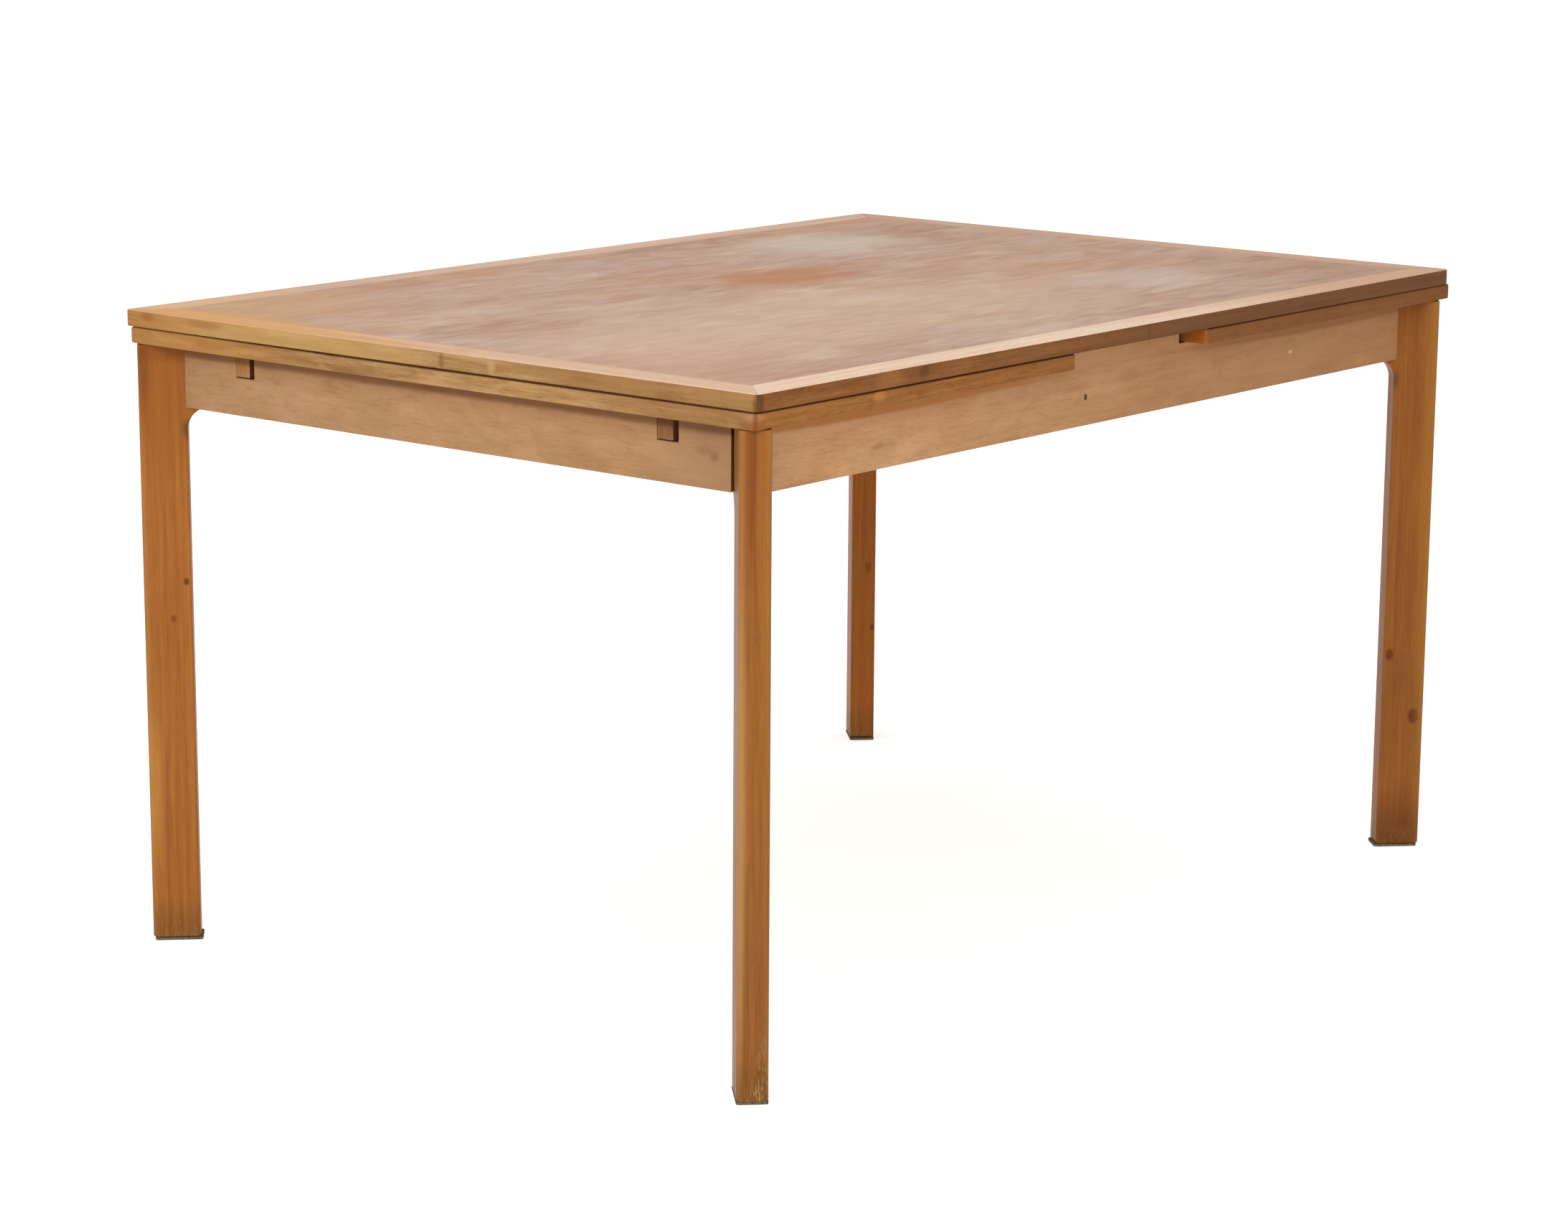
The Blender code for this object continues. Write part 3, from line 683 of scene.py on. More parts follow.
LEG_LOOKS = {
    "front_left": LegLook(
        Tones("#8F5C20", "#7F4D1E", "#613619", LEG_FADED),
        (
            # A painted highlight down the left rounding of the nose.
            Stain((-0.6490, -0.4290, 0.30), (0.006, 0.006, 0.22), "#A47C4C", 0.5, 0.6, 0.6),
            # A dark stain down the top of the nose, with painted shade of the leaf over it.
            Stain((-0.6435, -0.4381, 0.66), (0.005, 0.005, 0.12), "#5A240A", 0.5, 0.6, 0.7),
            Stain((-0.6290, -0.4470, 0.0), (0.012, 0.012, 0.055), "#A08654", 0.5, 0.6, 0.9, True),
        ),
    ),
    "front_right": LegLook(
        Tones("#90571C", "#7D4A1B", "#623518", LEG_FADED),
        (
            Stain((0.6199, -0.4429, 0.1656), (0.006, 0.006, 0.009), "#4E1600", 0.88, 0.4, 0.4),
            Stain((0.5968, -0.4197, 0.2429), (0.0045, 0.0045, 0.007), "#542202", 0.78, 0.4, 0.4),
            Stain((0.6270, -0.4500, 0.45), (0.012, 0.012, 0.35), "#986828", 0.38, 0.6, 0.8),
            # Painted shade on the sweep under the aprons.
            Stain((0.5876, -0.4106, 0.583), (0.011, 0.011, 0.012), "#4A280C", 0.6, 0.5, 0.3),
            Stain((0.6090, -0.4320, 0.020), (0.030, 0.030, 0.045), "#5A280A", 0.45, 0.6, 0.8),
        ),
    ),
    "back_left": LegLook(
        Tones("#9F6524", "#8D5420", "#6D3D1A", LEG_FADED),
        (
            # The first two are painted shade on the head under the leaf.
            Stain((-0.6320, 0.4090, 0.668), (0.06, 0.06, 0.009), "#62300A", 0.5, 0.6, 0.3),
            Stain((-0.6320, 0.4090, 0.640), (0.06, 0.06, 0.090), "#7E4816", 0.5, 0.6, 0.6),
            Stain((-0.6480, 0.4250, 0.185), (0.009, 0.009, 0.075), "#A8783A", 0.5, 0.6, 0.8),
            Stain((-0.6295, 0.4066, 0.3705), (0.003, 0.003, 0.004), "#6E3000", 0.8, 0.35, 0.3),
            Stain((-0.6188, 0.3958, 0.4125), (0.003, 0.003, 0.004), "#4E2402", 0.8, 0.35, 0.3),
            Stain((-0.6480, 0.4250, 0.66), (0.006, 0.006, 0.06), "#6A3410", 0.6, 0.6, 0.8),
            # Painted shade on the sweep under the aprons.
            Stain((-0.6106, 0.3876, 0.583), (0.011, 0.011, 0.012), "#4A280C", 0.7, 0.5, 0.3),
        ),
        arris_highlight=0.4,
    ),
    "back_right": LegLook(
        LEG_OAK.tones,
        (
            Stain((0.6120, 0.3947, 0.1574), (0.0025, 0.0025, 0.004), "#4A1E04", 0.75, 0.4, 0.4),
            Stain((0.6079, 0.3988, 0.2403), (0.004, 0.004, 0.008), "#5E2604", 0.5, 0.5, 0.8),
        ),
    ),
}
# Marks on every foot, with their height, colour and strength: dirt from the floor, and scratches
# over it.
FOOT_MARKS = (
    (34.0 * MM, "#4C2E12", 0.4, False),
    (24.0 * MM, "#8C6E3C", 0.3, True),
)
# Bearers: waxed beech, smooth where they slide, painted dark all over as the shade they lie in.
BEARER_BEECH = Timber(
    "dark_waxed_beech_bearer",
    Tones("#6A4224", "#573219", "#3E210F", "#5E381C"),
)
# Their sawn ends: dry end grain, short specks and no sheen, with painted shade of the leaf along
# their tops, and the nearer one painted darker still as shade.
BEARER_END = Timber(
    "sawn_beech_end_grain",
    Tones("#AA8052", "#9A7046", "#7E5832", "#946C42"),
    Grain.ALONG_Z,
    band_mm=(12.0, 30.0),
    streak_mm=(2.5, 14.0),
    fibre_mm=(0.8, 4.0),
    roughness=0.7,
    gloss=EDGE_GLOSS,
    stains=(
        Stain((-0.62, -0.302, 0.66), (0.05, 0.03, 0.03), "#583420", 0.55, 0.4, 0.3),
        Stain((-0.62, 0.0, 0.6695), (0.05, 5.0, 0.006), "#3E2210", 0.6, 0.6, 0.2),
    ),
)
# Hidden frame: planed pine left raw, pale straw with faint streaks, grain the way each part runs.
FRAME_PINE_X = Timber(
    "planed_pine_along",
    Tones("#D2B384", "#C29E6C", "#A57F50", "#C9AE90"),
    roughness=0.65,
)
FRAME_PINE_Y = replace(FRAME_PINE_X, name="planed_pine_across", grain=Grain.ALONG_Y)
PAD_FELT = Felt()
HARDWARE = PlatedSteel()


class Round(NamedTuple):
    """An eased edge: its radius and the number of facets across it."""

    radius: float
    steps: int


def block(low: Point, high: Point) -> Mesh:
    """Makes a rectangular blank.

    Args:
        low: Its lowest corner.
        high: Its highest corner.

    Returns:
        The mesh.
    """
    low, high = Vector(low), Vector(high)
    place = Matrix.LocRotScale((low + high) / 2, None, high - low)
    bm = bmesh.new()
    bmesh.ops.create_cube(bm, size=1.0, matrix=place)
    bm.normal_update()
    return bm


def score(bm: Mesh, point: Point, normal: Point, cut_off: bool = False) -> list[Any]:
    """Adds edges where a plane crosses the mesh.

    Args:
        bm: The mesh.
        point: A point of the plane.
        normal: The plane's direction.
        cut_off: Whether what lies beyond the plane goes.

    Returns:
        The new corners and edges.
    """
    parts = bm.verts[:] + bm.edges[:] + bm.faces[:]
    plane = {"plane_co": point, "plane_no": normal, "clear_outer": cut_off}
    cut = bmesh.ops.bisect_plane(bm, geom=parts, dist=CUT_NEAR, **plane)["geom_cut"]
    bm.normal_update()
    return cut


def saw(bm: Mesh, point: Point, normal: Point) -> None:
    """Cuts off what lies beyond a plane and closes the cut.

    Args:
        bm: The mesh.
        point: A point of the plane.
        normal: The plane's direction, outwards.
    """
    cut = score(bm, point, normal, cut_off=True)
    bmesh.ops.edgeloop_fill(bm, edges=[item for item in cut if isinstance(item, Edge)])
    bmesh.ops.recalc_face_normals(bm, faces=bm.faces)


def ease(bm: Mesh, edges: Iterable[Edge], rounding: Round) -> None:
    """Rounds edges over.

    Args:
        bm: The mesh.
        edges: Its edges.
        rounding: How far.
    """
    bmesh.ops.bevel(
        bm,
        geom=list(edges),
        offset=rounding.radius,
        offset_type="OFFSET",
        affect="EDGES",
        segments=rounding.steps,
        profile=0.5,
        material=-1,
        clamp_overlap=True,
    )
    bm.normal_update()


def draw_out(bm: Mesh, faces: Sequence[Face], along: Point) -> None:
    """Extrudes faces and leaves none of them behind inside.

    Args:
        bm: The mesh.
        faces: Its faces.
        along: How far and which way.
    """
    drawn = bmesh.ops.extrude_face_region(bm, geom=faces)["geom"]
    moved = [item for item in drawn if isinstance(item, bmesh.types.BMVert)]
    bmesh.ops.translate(bm, vec=along, verts=moved)
    bmesh.ops.delete(bm, geom=[face for face in faces if face.is_valid], context="FACES")
    bm.normal_update()


def rise(edge: Edge) -> float:
    """Measures how far an edge climbs."""
    return abs(edge.verts[0].co.z - edge.verts[1].co.z)


def sharp_edges(bm: Mesh) -> list[Edge]:
    """Finds the arrises of a mesh."""
    return [e for e in bm.edges if len(e.link_faces) == 2 and e.calc_face_angle(0.0) > ARRIS]


def within(edges: Iterable[Edge], low: Point, high: Point) -> list[Edge]:
    """Picks the edges that lie in a box, which may be as thin as a line.

    Args:
        edges: Some edges of a mesh.
        low: The box's lowest corner.
        high: Its highest corner.

    Returns:
        Those with both ends in it.
    """
    limits = [(least - NEAR, most + NEAR) for least, most in zip(low, high)]
    return [
        edge
        for edge in edges
        if all(a < x < b for vert in edge.verts for x, (a, b) in zip(vert.co, limits))
    ]


def set_piece(
    name: str,
    bm: Mesh,
    finishes: Sequence[Finish],
    body: str,
    slot: str,
    nodes: Sequence[str] = (),
    sort: Callable[[Face], int] | None = None,
) -> None:
    """Turns a mesh into a finished piece that rides on its body.

    Args:
        name: The piece's name.
        bm: Its mesh, which is used up.
        finishes: Its finishes.
        body: The body that it rides on.
        slot: The record's slot for its finish; not used.
        nodes: The solids that it stands for.
        sort: Picks a finish for each face, if there are several.
    """
    bmesh.ops.recalc_face_normals(bm, faces=bm.faces)
    bm.normal_update()
    if sort is not None:
        for face in bm.faces:
            face.material_index = sort(face)
    mesh = bpy.data.meshes.new(name)
    bm.to_mesh(mesh)
    bm.free()
    for finish in finishes:
        mesh.materials.append(finish.material())
    mesh.shade_smooth()
    mesh.set_sharp_from_angle(angle=CRISP)
    piece = bpy.data.objects.new(name, mesh)
    bpy.context.scene.collection.objects.link(piece)
    flat = piece.modifiers.new("flat_faces_stay_flat", "WEIGHTED_NORMAL")
    flat.keep_sharp = True
    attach(piece, body)
    if nodes:
        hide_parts(*nodes)
    LOG.info("%s: %d faces, rides on %s", name, len(mesh.polygons), body)


class Side(Enum):
    """The sides of a board, as the outward direction in plan."""

    FRONT = (0, -1)
    RIGHT = (1, 0)
    BACK = (0, 1)
    LEFT = (-1, 0)

    def opposite(self) -> "Side":
        """Gives the side across the board."""
        return Side((-self.value[0], -self.value[1]))

    @classmethod
    def each(cls, front: Timber, right: Timber, back: Timber, left: Timber) -> "Dressing":
        """Names a finish for each side."""
        return dict(zip(cls, (front, right, back, left)))


Dressing = dict[Side, Timber]


@dataclass
class FramedBoard:
    """The top or a leaf: a veneered panel in four mitred lengths of solid lipping.

    A face whose normal rises by more than face_from has the finish of the upper side.
    """

    name: str
    slot: str
    veneer: Timber
    upper: Dressing
    edge: Dressing
    turned: bool = False
    lipping_width: float = 40.0 * MM
    corner: Round = Round(7.0 * MM, 8)
    arris: Round = Round(1.2 * MM, 3)
    face_from: float = 0.6
    seam: float = 0.2 * MM

    def node(self, side: Side) -> str:
        """Names the solid of the lipping on one side, on a leaf that may be turned round."""
        own = side.opposite() if self.turned else side
        return f"{self.name}_lipping_{own.name.lower()}"

    def extent(self) -> list[Vector]:
        """Measures the lowest and highest corner of the board over its lipping."""
        corners = [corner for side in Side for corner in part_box(self.node(side))]
        return [Vector([pick(axis) for axis in zip(*corners)]) for pick in (min, max)]

    def lipping(self, blank: Mesh, low: Vector, high: Vector, side: Side) -> Mesh:
        """Cuts one length of lipping from the blank.

        Args:
            blank: The whole board, which is kept.
            low: Its lowest corner.
            high: Its highest corner.
            side: The side that the lipping runs along.

        Returns:
            The lipping, mitred at both ends.
        """
        bm = blank.copy()
        outward = Vector((*side.value, 0))
        along = Vector((-outward.y, outward.x, 0))
        middle = (low + high) / 2
        half = (high - low) / 2
        edge = middle + Vector((outward.x * half.x, outward.y * half.y, 0))
        saw(bm, edge - outward * self.lipping_width, -outward)
        for way in (-1, 1):
            end = along * way
            corner = edge + Vector((end.x * half.x, end.y * half.y, 0))
            mitre = (end - outward).normalized()
            saw(bm, corner - mitre * self.seam / 2, mitre)
        return bm

    def sort(self, face: Face) -> int:
        """Picks the finish of the flat sides for a face, or that of the edge."""
        return 0 if face.normal.z > self.face_from or face.normal.z < -FLAT else 1

    def build(self) -> None:
        """Builds a whole board with eased edges, cuts it into lippings and dresses them."""
        low, high = self.extent()
        blank = block(low, high)
        ease(blank, [e for e in blank.edges if rise(e) > MM], self.corner)
        ease(blank, [e for e in sharp_edges(blank) if rise(e) < MM], self.arris)
        for side in Side:
            node = self.node(side)
            bm = self.lipping(blank, low, high, side)
            finishes = (self.upper[side], self.edge[side])
            set_piece(f"{node}_finished", bm, finishes, self.name, self.slot, (node,), self.sort)
        blank.free()


@dataclass
class CornerLeg:
    """A plank leg on the corner's diagonal, with a head that sweeps in between the aprons.

    Its front arrises carry a stripe of painted highlight about a set height, and its foot is
    marked all round.
    """

    name: str
    corner: tuple[int, int]
    reach: Pair
    look: LegLook
    setback: float = 13.0 * MM
    depth: float = 53.0 * MM
    width: float = LEG_WIDTH
    head_back: float = 98.4 * MM
    sweep: Round = Round(25.0 * MM, 14)
    nose_round: Round = Round(6.0 * MM, 6)
    back_round: Round = Round(2.5 * MM, 3)
    foot_round: Round = Round(2.2 * MM, 3)
    top_round: Round = Round(0.8 * MM, 2)
    highlight_inside: float = 1.5 * MM
    highlight_level: float = 0.4
    highlight_reach: Triple = (4.0 * MM, 4.0 * MM, 0.6)
    highlight_colour: str = "#A8753A"
    highlight_soft: float = 0.6
    highlight_ragged: float = 0.8
    foot_reach: float = 60.0 * MM
    foot_soft: float = 0.6
    foot_ragged: float = 0.9

    def mesh(self, foot: float, head_level: float, top: float) -> Mesh:
        """Shapes the leg in the frame of its corner: X runs in along the diagonal.

        Args:
            foot: The height of the leg's bottom.
            head_level: The height of the head's underside.
            top: The height of the leg's top.

        Returns:
            The mesh.
        """
        half, nose, head = self.width / 2, self.setback, self.head_back
        back = nose + self.depth
        bm = block((nose, -half, foot), (back, half, top))
        score(bm, (0, 0, head_level), (0, 0, 1))
        behind = [f for f in bm.faces if f.normal.x > FACING]
        inner = [f for f in behind if f.calc_center_median().z > head_level]
        draw_out(bm, inner, (head - back, 0, 0))
        under_head = within(bm.edges, (back, -half, head_level), (back, half, head_level))
        ease(bm, under_head, self.sweep)
        front = [within(bm.edges, (nose, y, foot), (nose, y, top)) for y in (-half, half)]
        ease(bm, sum(front, []), self.nose_round)
        rear = [within(bm.edges, (back, y, foot), (head, y, head_level)) for y in (-half, half)]
        ease(bm, sum(rear, []), self.back_round)
        ease(bm, within(bm.edges, (nose, -half, foot), (back, half, foot)), self.foot_round)
        rim = within(sharp_edges(bm), (nose, -half, top), (head, half, top))
        ease(bm, rim, self.top_round)
        return bm

    def place(self) -> Matrix:
        """Works out where the frame of the leg's corner lies on the table.

        Returns:
            The move from that frame to the table's.
        """
        x, y = self.corner
        turn = Matrix.Rotation(math.atan2(-y, -x), 4, "Z")
        return Matrix.Translation((x * self.reach[0], y * self.reach[1], 0)) @ turn

    def wear(self, foot: float) -> tuple[Stain, ...]:
        """Lists the marks that every leg has: painted highlights on the front arrises and a
        scuffed foot.

        Args:
            foot: The height of the leg's bottom.

        Returns:
            The marks.
        """
        place = self.place()
        marks = []
        # Painted highlights down both front arrises.
        for way in (-1, 1):
            across = way * (self.width / 2 - self.highlight_inside)
            arris = place @ Vector((self.setback + self.highlight_inside, across, self.highlight_level))
            arris_highlight = (self.highlight_reach, self.highlight_colour, self.look.arris_highlight)
            marks.append(Stain(tuple(arris), *arris_highlight, self.highlight_soft, self.highlight_ragged))
        middle = tuple(place @ Vector((self.setback + self.depth / 2, 0, foot)))
        for height, colour, strength, scratched in FOOT_MARKS:
            mark = ((self.foot_reach, self.foot_reach, height), colour, strength)
            marks.append(Stain(middle, *mark, self.foot_soft, self.foot_ragged, scratched))
        return tuple(marks)

    def build(self) -> None:
        """Builds and dresses the leg."""
        node = f"leg_{self.name}"
        low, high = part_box(node)
        head_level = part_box("long_apron_front")[0][2]
        bm = self.mesh(low[2], head_level, high[2])
        bmesh.ops.transform(bm, matrix=self.place(), verts=bm.verts)
        oak = replace(
            LEG_OAK,
            name=f"{LEG_OAK.name}_{self.name}",
            tones=self.look.tones,
            stains=self.wear(low[2]) + self.look.stains,
        )
        set_piece(f"{node}_finished", bm, (oak,), "frame", "leg_wood", (node,))


@dataclass
class Apron:
    """One apron: a bar with raised stretches, its ends cut to the cheeks of the legs.

    Where an end's gap is wider than a close joint, it is that wide in front only, and closed
    behind open_depth.
    """

    node: str
    finish: Timber
    half: float
    reach: float
    turn: float
    stretches: tuple[Pair, ...]
    low_level: float
    end_gaps: Pair = (FIT, FIT)
    open_depth: float = 5.0 * MM
    inset: float = 34.0 * MM
    thickness: float = 22.0 * MM
    arris: Round = Round(0.5 * MM, 2)

    def build(self) -> None:
        """Builds and dresses the apron."""
        low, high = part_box(self.node)
        bm = block(
            (-self.half, self.inset, low[2]),
            (self.half, self.inset + self.thickness, self.low_level),
        )
        for stretch in self.stretches:
            for x in stretch:
                score(bm, (x, 0, 0), (1, 0, 0))
        for start, end in self.stretches:
            upper = [f for f in bm.faces if f.normal.z > FACING]
            raised = [f for f in upper if start < f.calc_center_median().x < end]
            draw_out(bm, raised, (0, 0, high[2] - self.low_level))
        end = self.half - self.inset - (LEG_WIDTH / 2 + FIT) * DIAGONAL
        for way, gap in zip((-1, 1), self.end_gaps):
            saw(bm, (way * end, self.inset, 0), (way, 1, 0))
            opened = (gap - FIT) * DIAGONAL
            if opened > 0:
                slant = (way, 1 - opened / self.open_depth, 0)
                saw(bm, (way * (end - opened), self.inset, 0), slant)
        bmesh.ops.dissolve_limit(bm, angle_limit=LEVEL, verts=bm.verts, edges=bm.edges)
        bm.normal_update()
        ease(bm, sharp_edges(bm), self.arris)
        turn = Matrix.Rotation(self.turn, 4, "Z")
        place = Matrix.Translation(turn @ Vector((0, -self.reach, 0)))
        bmesh.ops.transform(bm, matrix=place @ turn, verts=bm.verts)
        name = f"{self.node}_finished"
        set_piece(name, bm, (self.finish,), "frame", "apron_wood", (self.node,))


@dataclass
class Bearers:
    """The bearers and stops under one leaf, with the screws that hold them to it."""

    leaf: str
    draw: int
    arris: Round = Round(0.6 * MM, 2)
    end_from: float = 0.8
    screw_radius: float = 4.0 * MM
    screw_taper: float = 0.3 * MM
    screw_proud: float = 0.15 * MM
    screw_sunk: float = 0.8 * MM
    screw_facets: int = 28
    slot_width: float = 0.9 * MM
    slot_depth: float = 0.6 * MM
    screw_places: Triple = (0.16, 0.37, 0.585)

    def screw(self, place: Vector) -> Mesh:
        """Makes the slotted head of a countersunk screw that looks down.

        Args:
            place: The middle of the head, on the bearer's underside.

        Returns:
            The mesh.
        """
        bm = bmesh.new()
        bmesh.ops.create_cone(
            bm,
            cap_ends=True,
            segments=self.screw_facets,
            radius1=self.screw_radius,
            radius2=self.screw_radius - self.screw_taper,
            depth=self.screw_sunk + self.screw_proud,
        )
        bm.normal_update()
        half = self.slot_width / 2
        for way in (-1, 1):
            score(bm, (way * half, 0, 0), (1, 0, 0))
        faces = [f for f in bm.faces if f.normal.z < -FACING]
        slot = [f for f in faces if abs(f.calc_center_median().x) < half]
        draw_out(bm, slot, (0, 0, self.slot_depth))
        shift = place + Vector((0, 0, (self.screw_sunk - self.screw_proud) / 2))
        bmesh.ops.translate(bm, vec=shift, verts=bm.verts)
        return bm

    def sort(self, face: Face) -> int:
        """Picks the finish of the sawn ends for a face, or that of the sides."""
        return 1 if abs(face.normal.x) > self.end_from else 0

    def build(self) -> None:
        """Builds and dresses the bearers, stops and screws."""
        woods = (BEARER_BEECH, BEARER_END)
        for side in ("front", "back"):
            node = f"{self.leaf}_bearer_{side}"
            low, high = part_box(node)
            bm = block(low, high)
            ease(bm, sharp_edges(bm), self.arris)
            name = f"{node}_finished"
            set_piece(name, bm, woods, self.leaf, "bearer_wood", (node,), self.sort)
            stop = f"{self.leaf}_stop_{side}"
            bm = block(*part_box(stop))
            ease(bm, sharp_edges(bm), self.arris)
            set_piece(f"{stop}_finished", bm, (FRAME_PINE_Y,), self.leaf, "frame_wood", (stop,))
            for i, x in enumerate(self.screw_places):
                place = Vector((self.draw * x, (low[1] + high[1]) / 2, low[2]))
                name = f"{node}_screw_{i + 1}"
                set_piece(name, self.screw(place), (HARDWARE,), self.leaf, "steel")


@dataclass
class SoftLight:
    """A large soft light: where it hangs, the point it looks at, its size and its power."""

    name: str
    place: Triple
    aim: Triple
    size: Pair
    watts: float

    def hang(self) -> None:
        """Hangs the light."""
        lamp = bpy.data.lights.new(self.name, "AREA")
        lamp.shape = "RECTANGLE"
        lamp.size, lamp.size_y = self.size
        lamp.energy = self.watts
        light = bpy.data.objects.new(self.name, lamp)
        light.location = self.place
        ray = Vector(self.aim) - Vector(self.place)
        light.rotation_euler = ray.to_track_quat("-Z", "Y").to_euler()
        bpy.context.scene.collection.objects.link(light)


@dataclass
class Studio:
    """White paper floor, white surroundings, two large soft lights and the camera."""

    camera_place: Triple = (-3.44320867, -2.77264512, 1.28544771)
    azimuth: float = 50.6733
    down: float = 12.0420
    roll: float = 0.3820
    lens_mm: float = 88.88
    sensor_mm: float = 36.0
    white: str = "#FFFFFF"
    paper: str = "#F6F5F2"
    paper_roughness: float = 0.9
    floor_half: float = 30.0
    sky: float = 0.52
    glow: Pair = (0.48, 0.66)
    glow_reach: Pair = (0.8, 3.2)
    lights: tuple[SoftLight, ...] = (
        SoftLight("key", (-3.1, -1.9, 2.1), (0.0, 0.0, 0.45), (2.4, 1.4), 90.0),
        SoftLight("overhead", (0.2, 0.3, 3.2), (0.2, 0.3, 0.0), (3.4, 2.6), 48.0),
    )

    def floor(self) -> None:
        """Lays the floor, which glows so that shadows stay faint, and more further out."""
        bm = bmesh.new()
        bmesh.ops.create_grid(bm, x_segments=1, y_segments=1, size=self.floor_half)
        mesh = bpy.data.meshes.new("floor")
        bm.to_mesh(mesh)
        bm.free()
        # Matt white paper, rolled smooth: even, pale and without shine.
        paper = bpy.data.materials.new("white_paper_floor")
        recipe = Recipe(paper, "Principled BSDF")
        place = recipe.add("TexCoord", out="Object")
        away = recipe.add("VectorMath", (place,), "Value", operation="LENGTH")
        surface = {
            "Base Color": srgb(self.paper),
            "Roughness": self.paper_roughness,
            "Emission Color": srgb(self.white),
            "Emission Strength": recipe.add("MapRange", (away, *self.glow_reach, *self.glow)),
        }
        recipe.set(recipe.shader, surface)
        mesh.materials.append(paper)
        floor = bpy.data.objects.new("floor", mesh)
        bpy.context.scene.collection.objects.link(floor)

    def surround(self) -> None:
        """Sets surroundings that look plain white and light the table with a part of that."""
        world = bpy.data.worlds.new("white_surroundings")
        recipe = Recipe(world, "Background")
        seen = recipe.add("LightPath", out="Is Camera Ray")
        dimmed = recipe.add("MapRange", {"Value": seen, "To Min": self.sky})
        recipe.set(recipe.shader, {"Color": srgb(self.white), "Strength": dimmed})
        bpy.context.scene.world = world

    def camera(self) -> None:
        """Puts the camera where the photograph was taken from."""
        lens = bpy.data.cameras.new("camera")
        lens.lens = self.lens_mm
        lens.sensor_width = self.sensor_mm
        lens.sensor_fit = "HORIZONTAL"
        camera = bpy.data.objects.new("camera", lens)
        place = Matrix.Translation(self.camera_place)
        for degrees, axis in ((-self.azimuth, "Z"), (90 - self.down, "X"), (self.roll, "Z")):
            place @= Matrix.Rotation(math.radians(degrees), 4, axis)
        camera.matrix_world = place
        bpy.context.scene.collection.objects.link(camera)
        bpy.context.scene.camera = camera

    def build(self) -> None:
        """Builds the studio."""
        self.floor()
        self.surround()
        for light in self.lights:
            light.hang()
        self.camera()
        bpy.context.scene.view_settings.view_transform = "Standard"


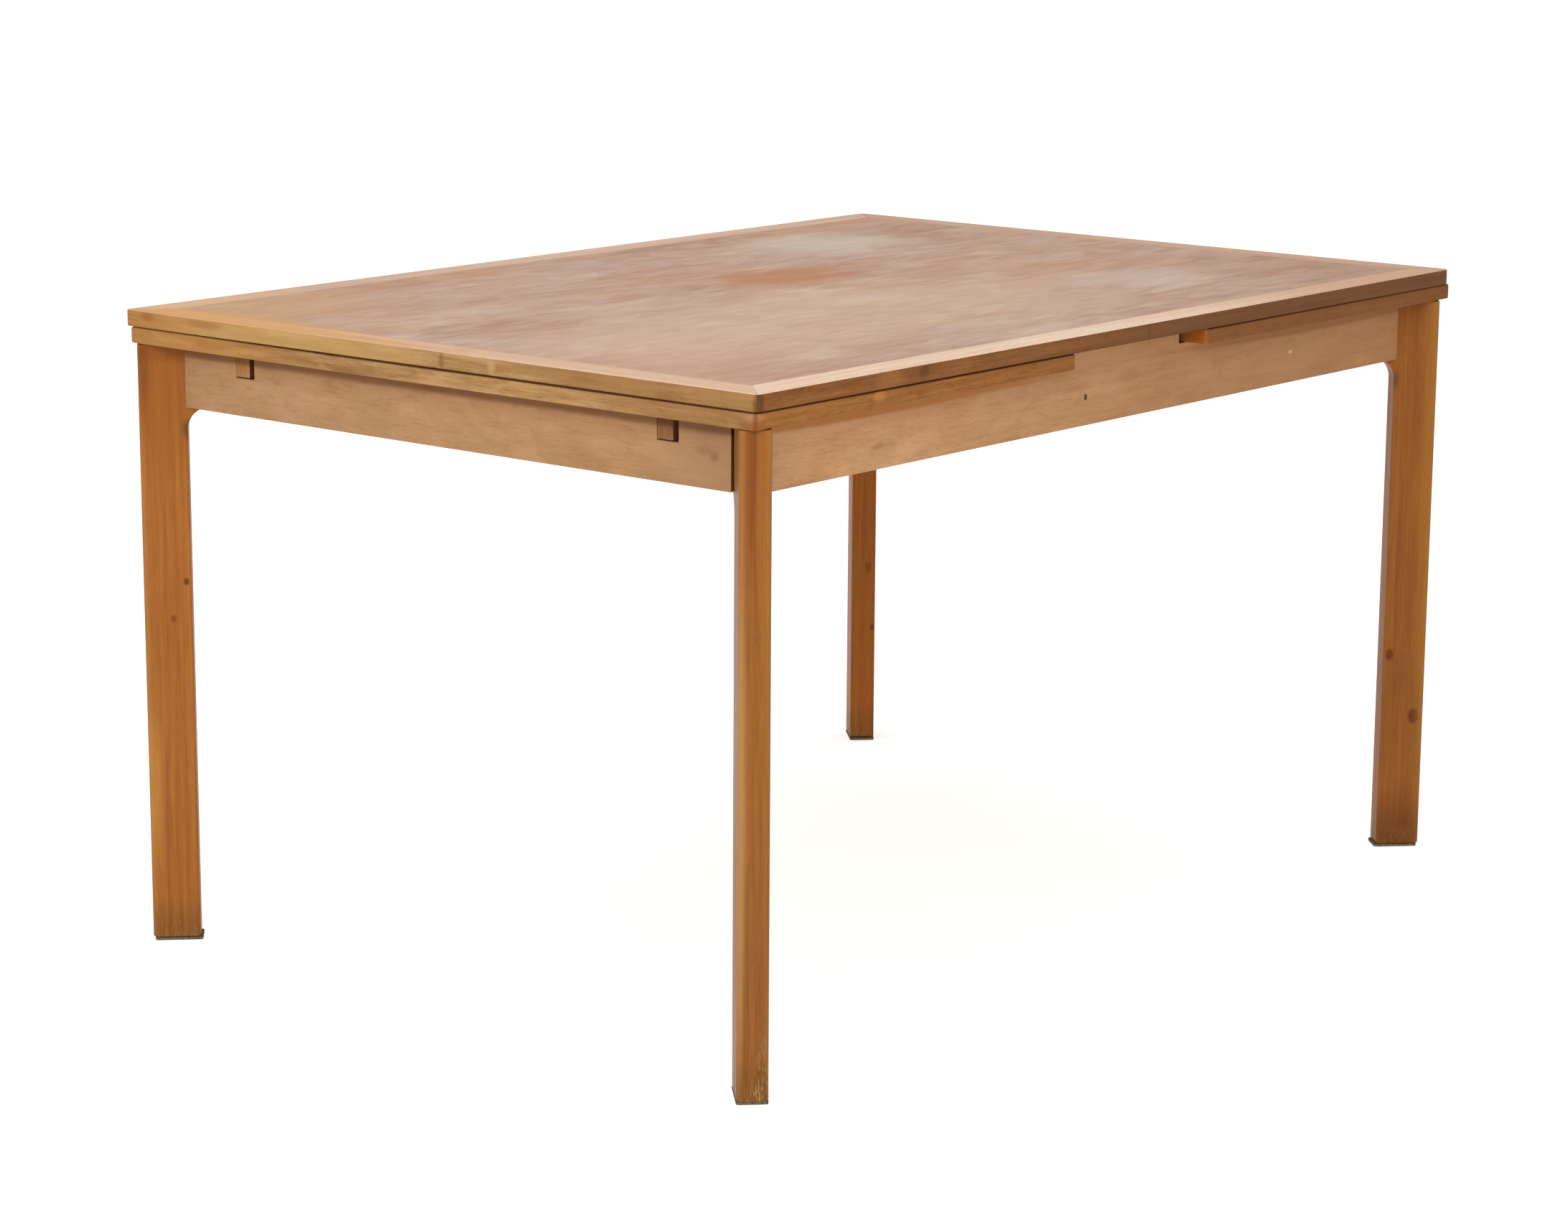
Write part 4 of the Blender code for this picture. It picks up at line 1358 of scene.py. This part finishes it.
@dataclass
class Table:
    """The whole table, put together from its boards, legs, aprons, bearers and frame."""

    solids: dict[str, bpy.types.Object]
    length: float = 1.300
    width: float = 0.900
    leaf_arris: Round = Round(2.0 * MM, 3)
    middle_half: float = 120.0 * MM
    bearer_half_spacing: Pair = (302.0 * MM, 270.0 * MM)
    bearer_half_width: float = 10.5 * MM
    notch_tight: float = 0.5 * MM
    notch_open: float = 7.0 * MM
    notch_below: float = 1.2 * MM
    side_shift: float = 2.0 * MM
    open_joint: float = 3.0 * MM
    pine_eased: float = 0.8 * MM
    nut_eased: float = 0.4 * MM

    def carry_over(self, name: str, finish: Finish, eased: float = 0.0) -> None:
        """Keeps a solid of the model, gives it its finish and eases its edges.

        Args:
            name: The solid's name.
            finish: Its finish.
            eased: The width of its eased edges, or 0 to leave them.
        """
        solid = self.solids[name]
        solid.data.materials.clear()
        solid.data.materials.append(finish.material())
        if eased:
            weld = solid.modifiers.new("joined_facets", "WELD")
            weld.merge_threshold = FACET_NEAR
            bevel = solid.modifiers.new("eased_edges", "BEVEL")
            bevel.width = eased
            bevel.segments = 2
            bevel.limit_method = "ANGLE"
            bevel.angle_limit = CRISP
        LOG.info("%s: carried over", name)

    def boards(self) -> list[FramedBoard]:
        """Lists the top and the two leaves.

        Returns:
            The boards.
        """
        upper = Side.each(SIDE_LIPPING, FAR_END_LIPPING, BACK_LIPPING, END_LIPPING)
        edge = Side.each(TOP_SIDE_EDGE, TOP_END_EDGE, TOP_SIDE_EDGE, TOP_END_EDGE)
        boards = [FramedBoard("top", "top_lipping_wood", TOP_VENEER, upper, edge)]
        upper = Side.each(LEAF_UPPER_SIDE, LEAF_UPPER_END, LEAF_UPPER_SIDE, LEAF_UPPER_END)
        for name, right, left, turned in (
            ("leaf_a", LEAF_INNER_EDGE, LEAF_END_EDGE, True),
            ("leaf_b", LEAF_END_EDGE, LEAF_INNER_EDGE, False),
        ):
            edge = Side.each(LEAF_SIDE_EDGE, right, LEAF_SIDE_EDGE, left)
            leaf = FramedBoard(name, "leaf_lipping_wood", LEAF_VENEER, upper, edge, turned)
            boards.append(replace(leaf, arris=self.leaf_arris, face_from=FLAT))
        return boards

    def notched(self, spacing: float, shift: float) -> tuple[Pair, ...]:
        """Works out the stretches of an end apron beside and between its notches.

        Args:
            spacing: The distance of a bearer from the middle.
            shift: How far the bearers stand off centre.

        Returns:
            The start and end of each stretch.
        """
        half = self.width / 2
        edges = [-half]
        for way in (-1, 1):
            middle = way * spacing + shift
            edges.append(middle - self.bearer_half_width - self.notch_tight)
            edges.append(middle + self.bearer_half_width + self.notch_open)
        edges.append(half)
        return tuple(zip(edges[::2], edges[1::2]))

    def aprons(self) -> list[Apron]:
        """Lists the four aprons.

        Returns:
            The aprons.
        """
        apron_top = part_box("end_apron_left")[1][2]
        notch_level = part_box("leaf_a_bearer_front")[0][2] - self.notch_below
        raised = ((-self.middle_half, self.middle_half),)
        left = self.notched(self.bearer_half_spacing[0], self.side_shift)
        right = self.notched(self.bearer_half_spacing[1], -self.side_shift)
        long_side = (LONG_APRON, self.length / 2, self.width / 2)
        end = (END_APRON, self.width / 2, self.length / 2)
        quarter = math.pi / 2
        gaps = (FIT, self.open_joint)
        return [
            Apron("long_apron_front", *long_side, 0.0, raised, apron_top),
            Apron("long_apron_back", *long_side, math.pi, raised, apron_top),
            Apron("end_apron_left", *end, -quarter, left, notch_level, end_gaps=gaps),
            Apron("end_apron_right", *end, quarter, right, notch_level),
        ]

    def build(self) -> None:
        """Builds and dresses every piece of the table."""
        for board in self.boards():
            board.build()
            self.carry_over(f"{board.name}_panel", board.veneer)
        reach = (self.length / 2, self.width / 2)
        for y_name, y in (("front", -1), ("back", 1)):
            for x_name, x in (("left", -1), ("right", 1)):
                corner = f"{y_name}_{x_name}"
                CornerLeg(corner, (x, y), reach, LEG_LOOKS[corner]).build()
                self.carry_over(f"leg_pad_{corner}", PAD_FELT)
                self.carry_over(f"corner_brace_{corner}", FRAME_PINE_X, self.pine_eased)
                self.carry_over(f"leg_bolt_{corner}", HARDWARE)
                self.carry_over(f"leg_nut_{corner}", HARDWARE, self.nut_eased)
                self.carry_over(f"screw_{corner}", HARDWARE)
            self.carry_over(f"cleat_{y_name}", FRAME_PINE_X, self.pine_eased)
            self.carry_over(f"top_peg_{y_name}", BEARER_BEECH)
        for apron in self.aprons():
            apron.build()
        for leaf, draw in (("leaf_a", -1), ("leaf_b", 1)):
            Bearers(leaf, draw).build()
        for name in ("centre_board", "middle_rail"):
            self.carry_over(name, FRAME_PINE_Y, self.pine_eased)


def main() -> None:
    """Loads the model and dresses it."""
    logging.basicConfig(level=logging.INFO, format="%(name)s: %(message)s")
    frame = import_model()
    Studio().build()
    Table(frame["nodes"]).build()


if __name__ == "__main__":
    main()
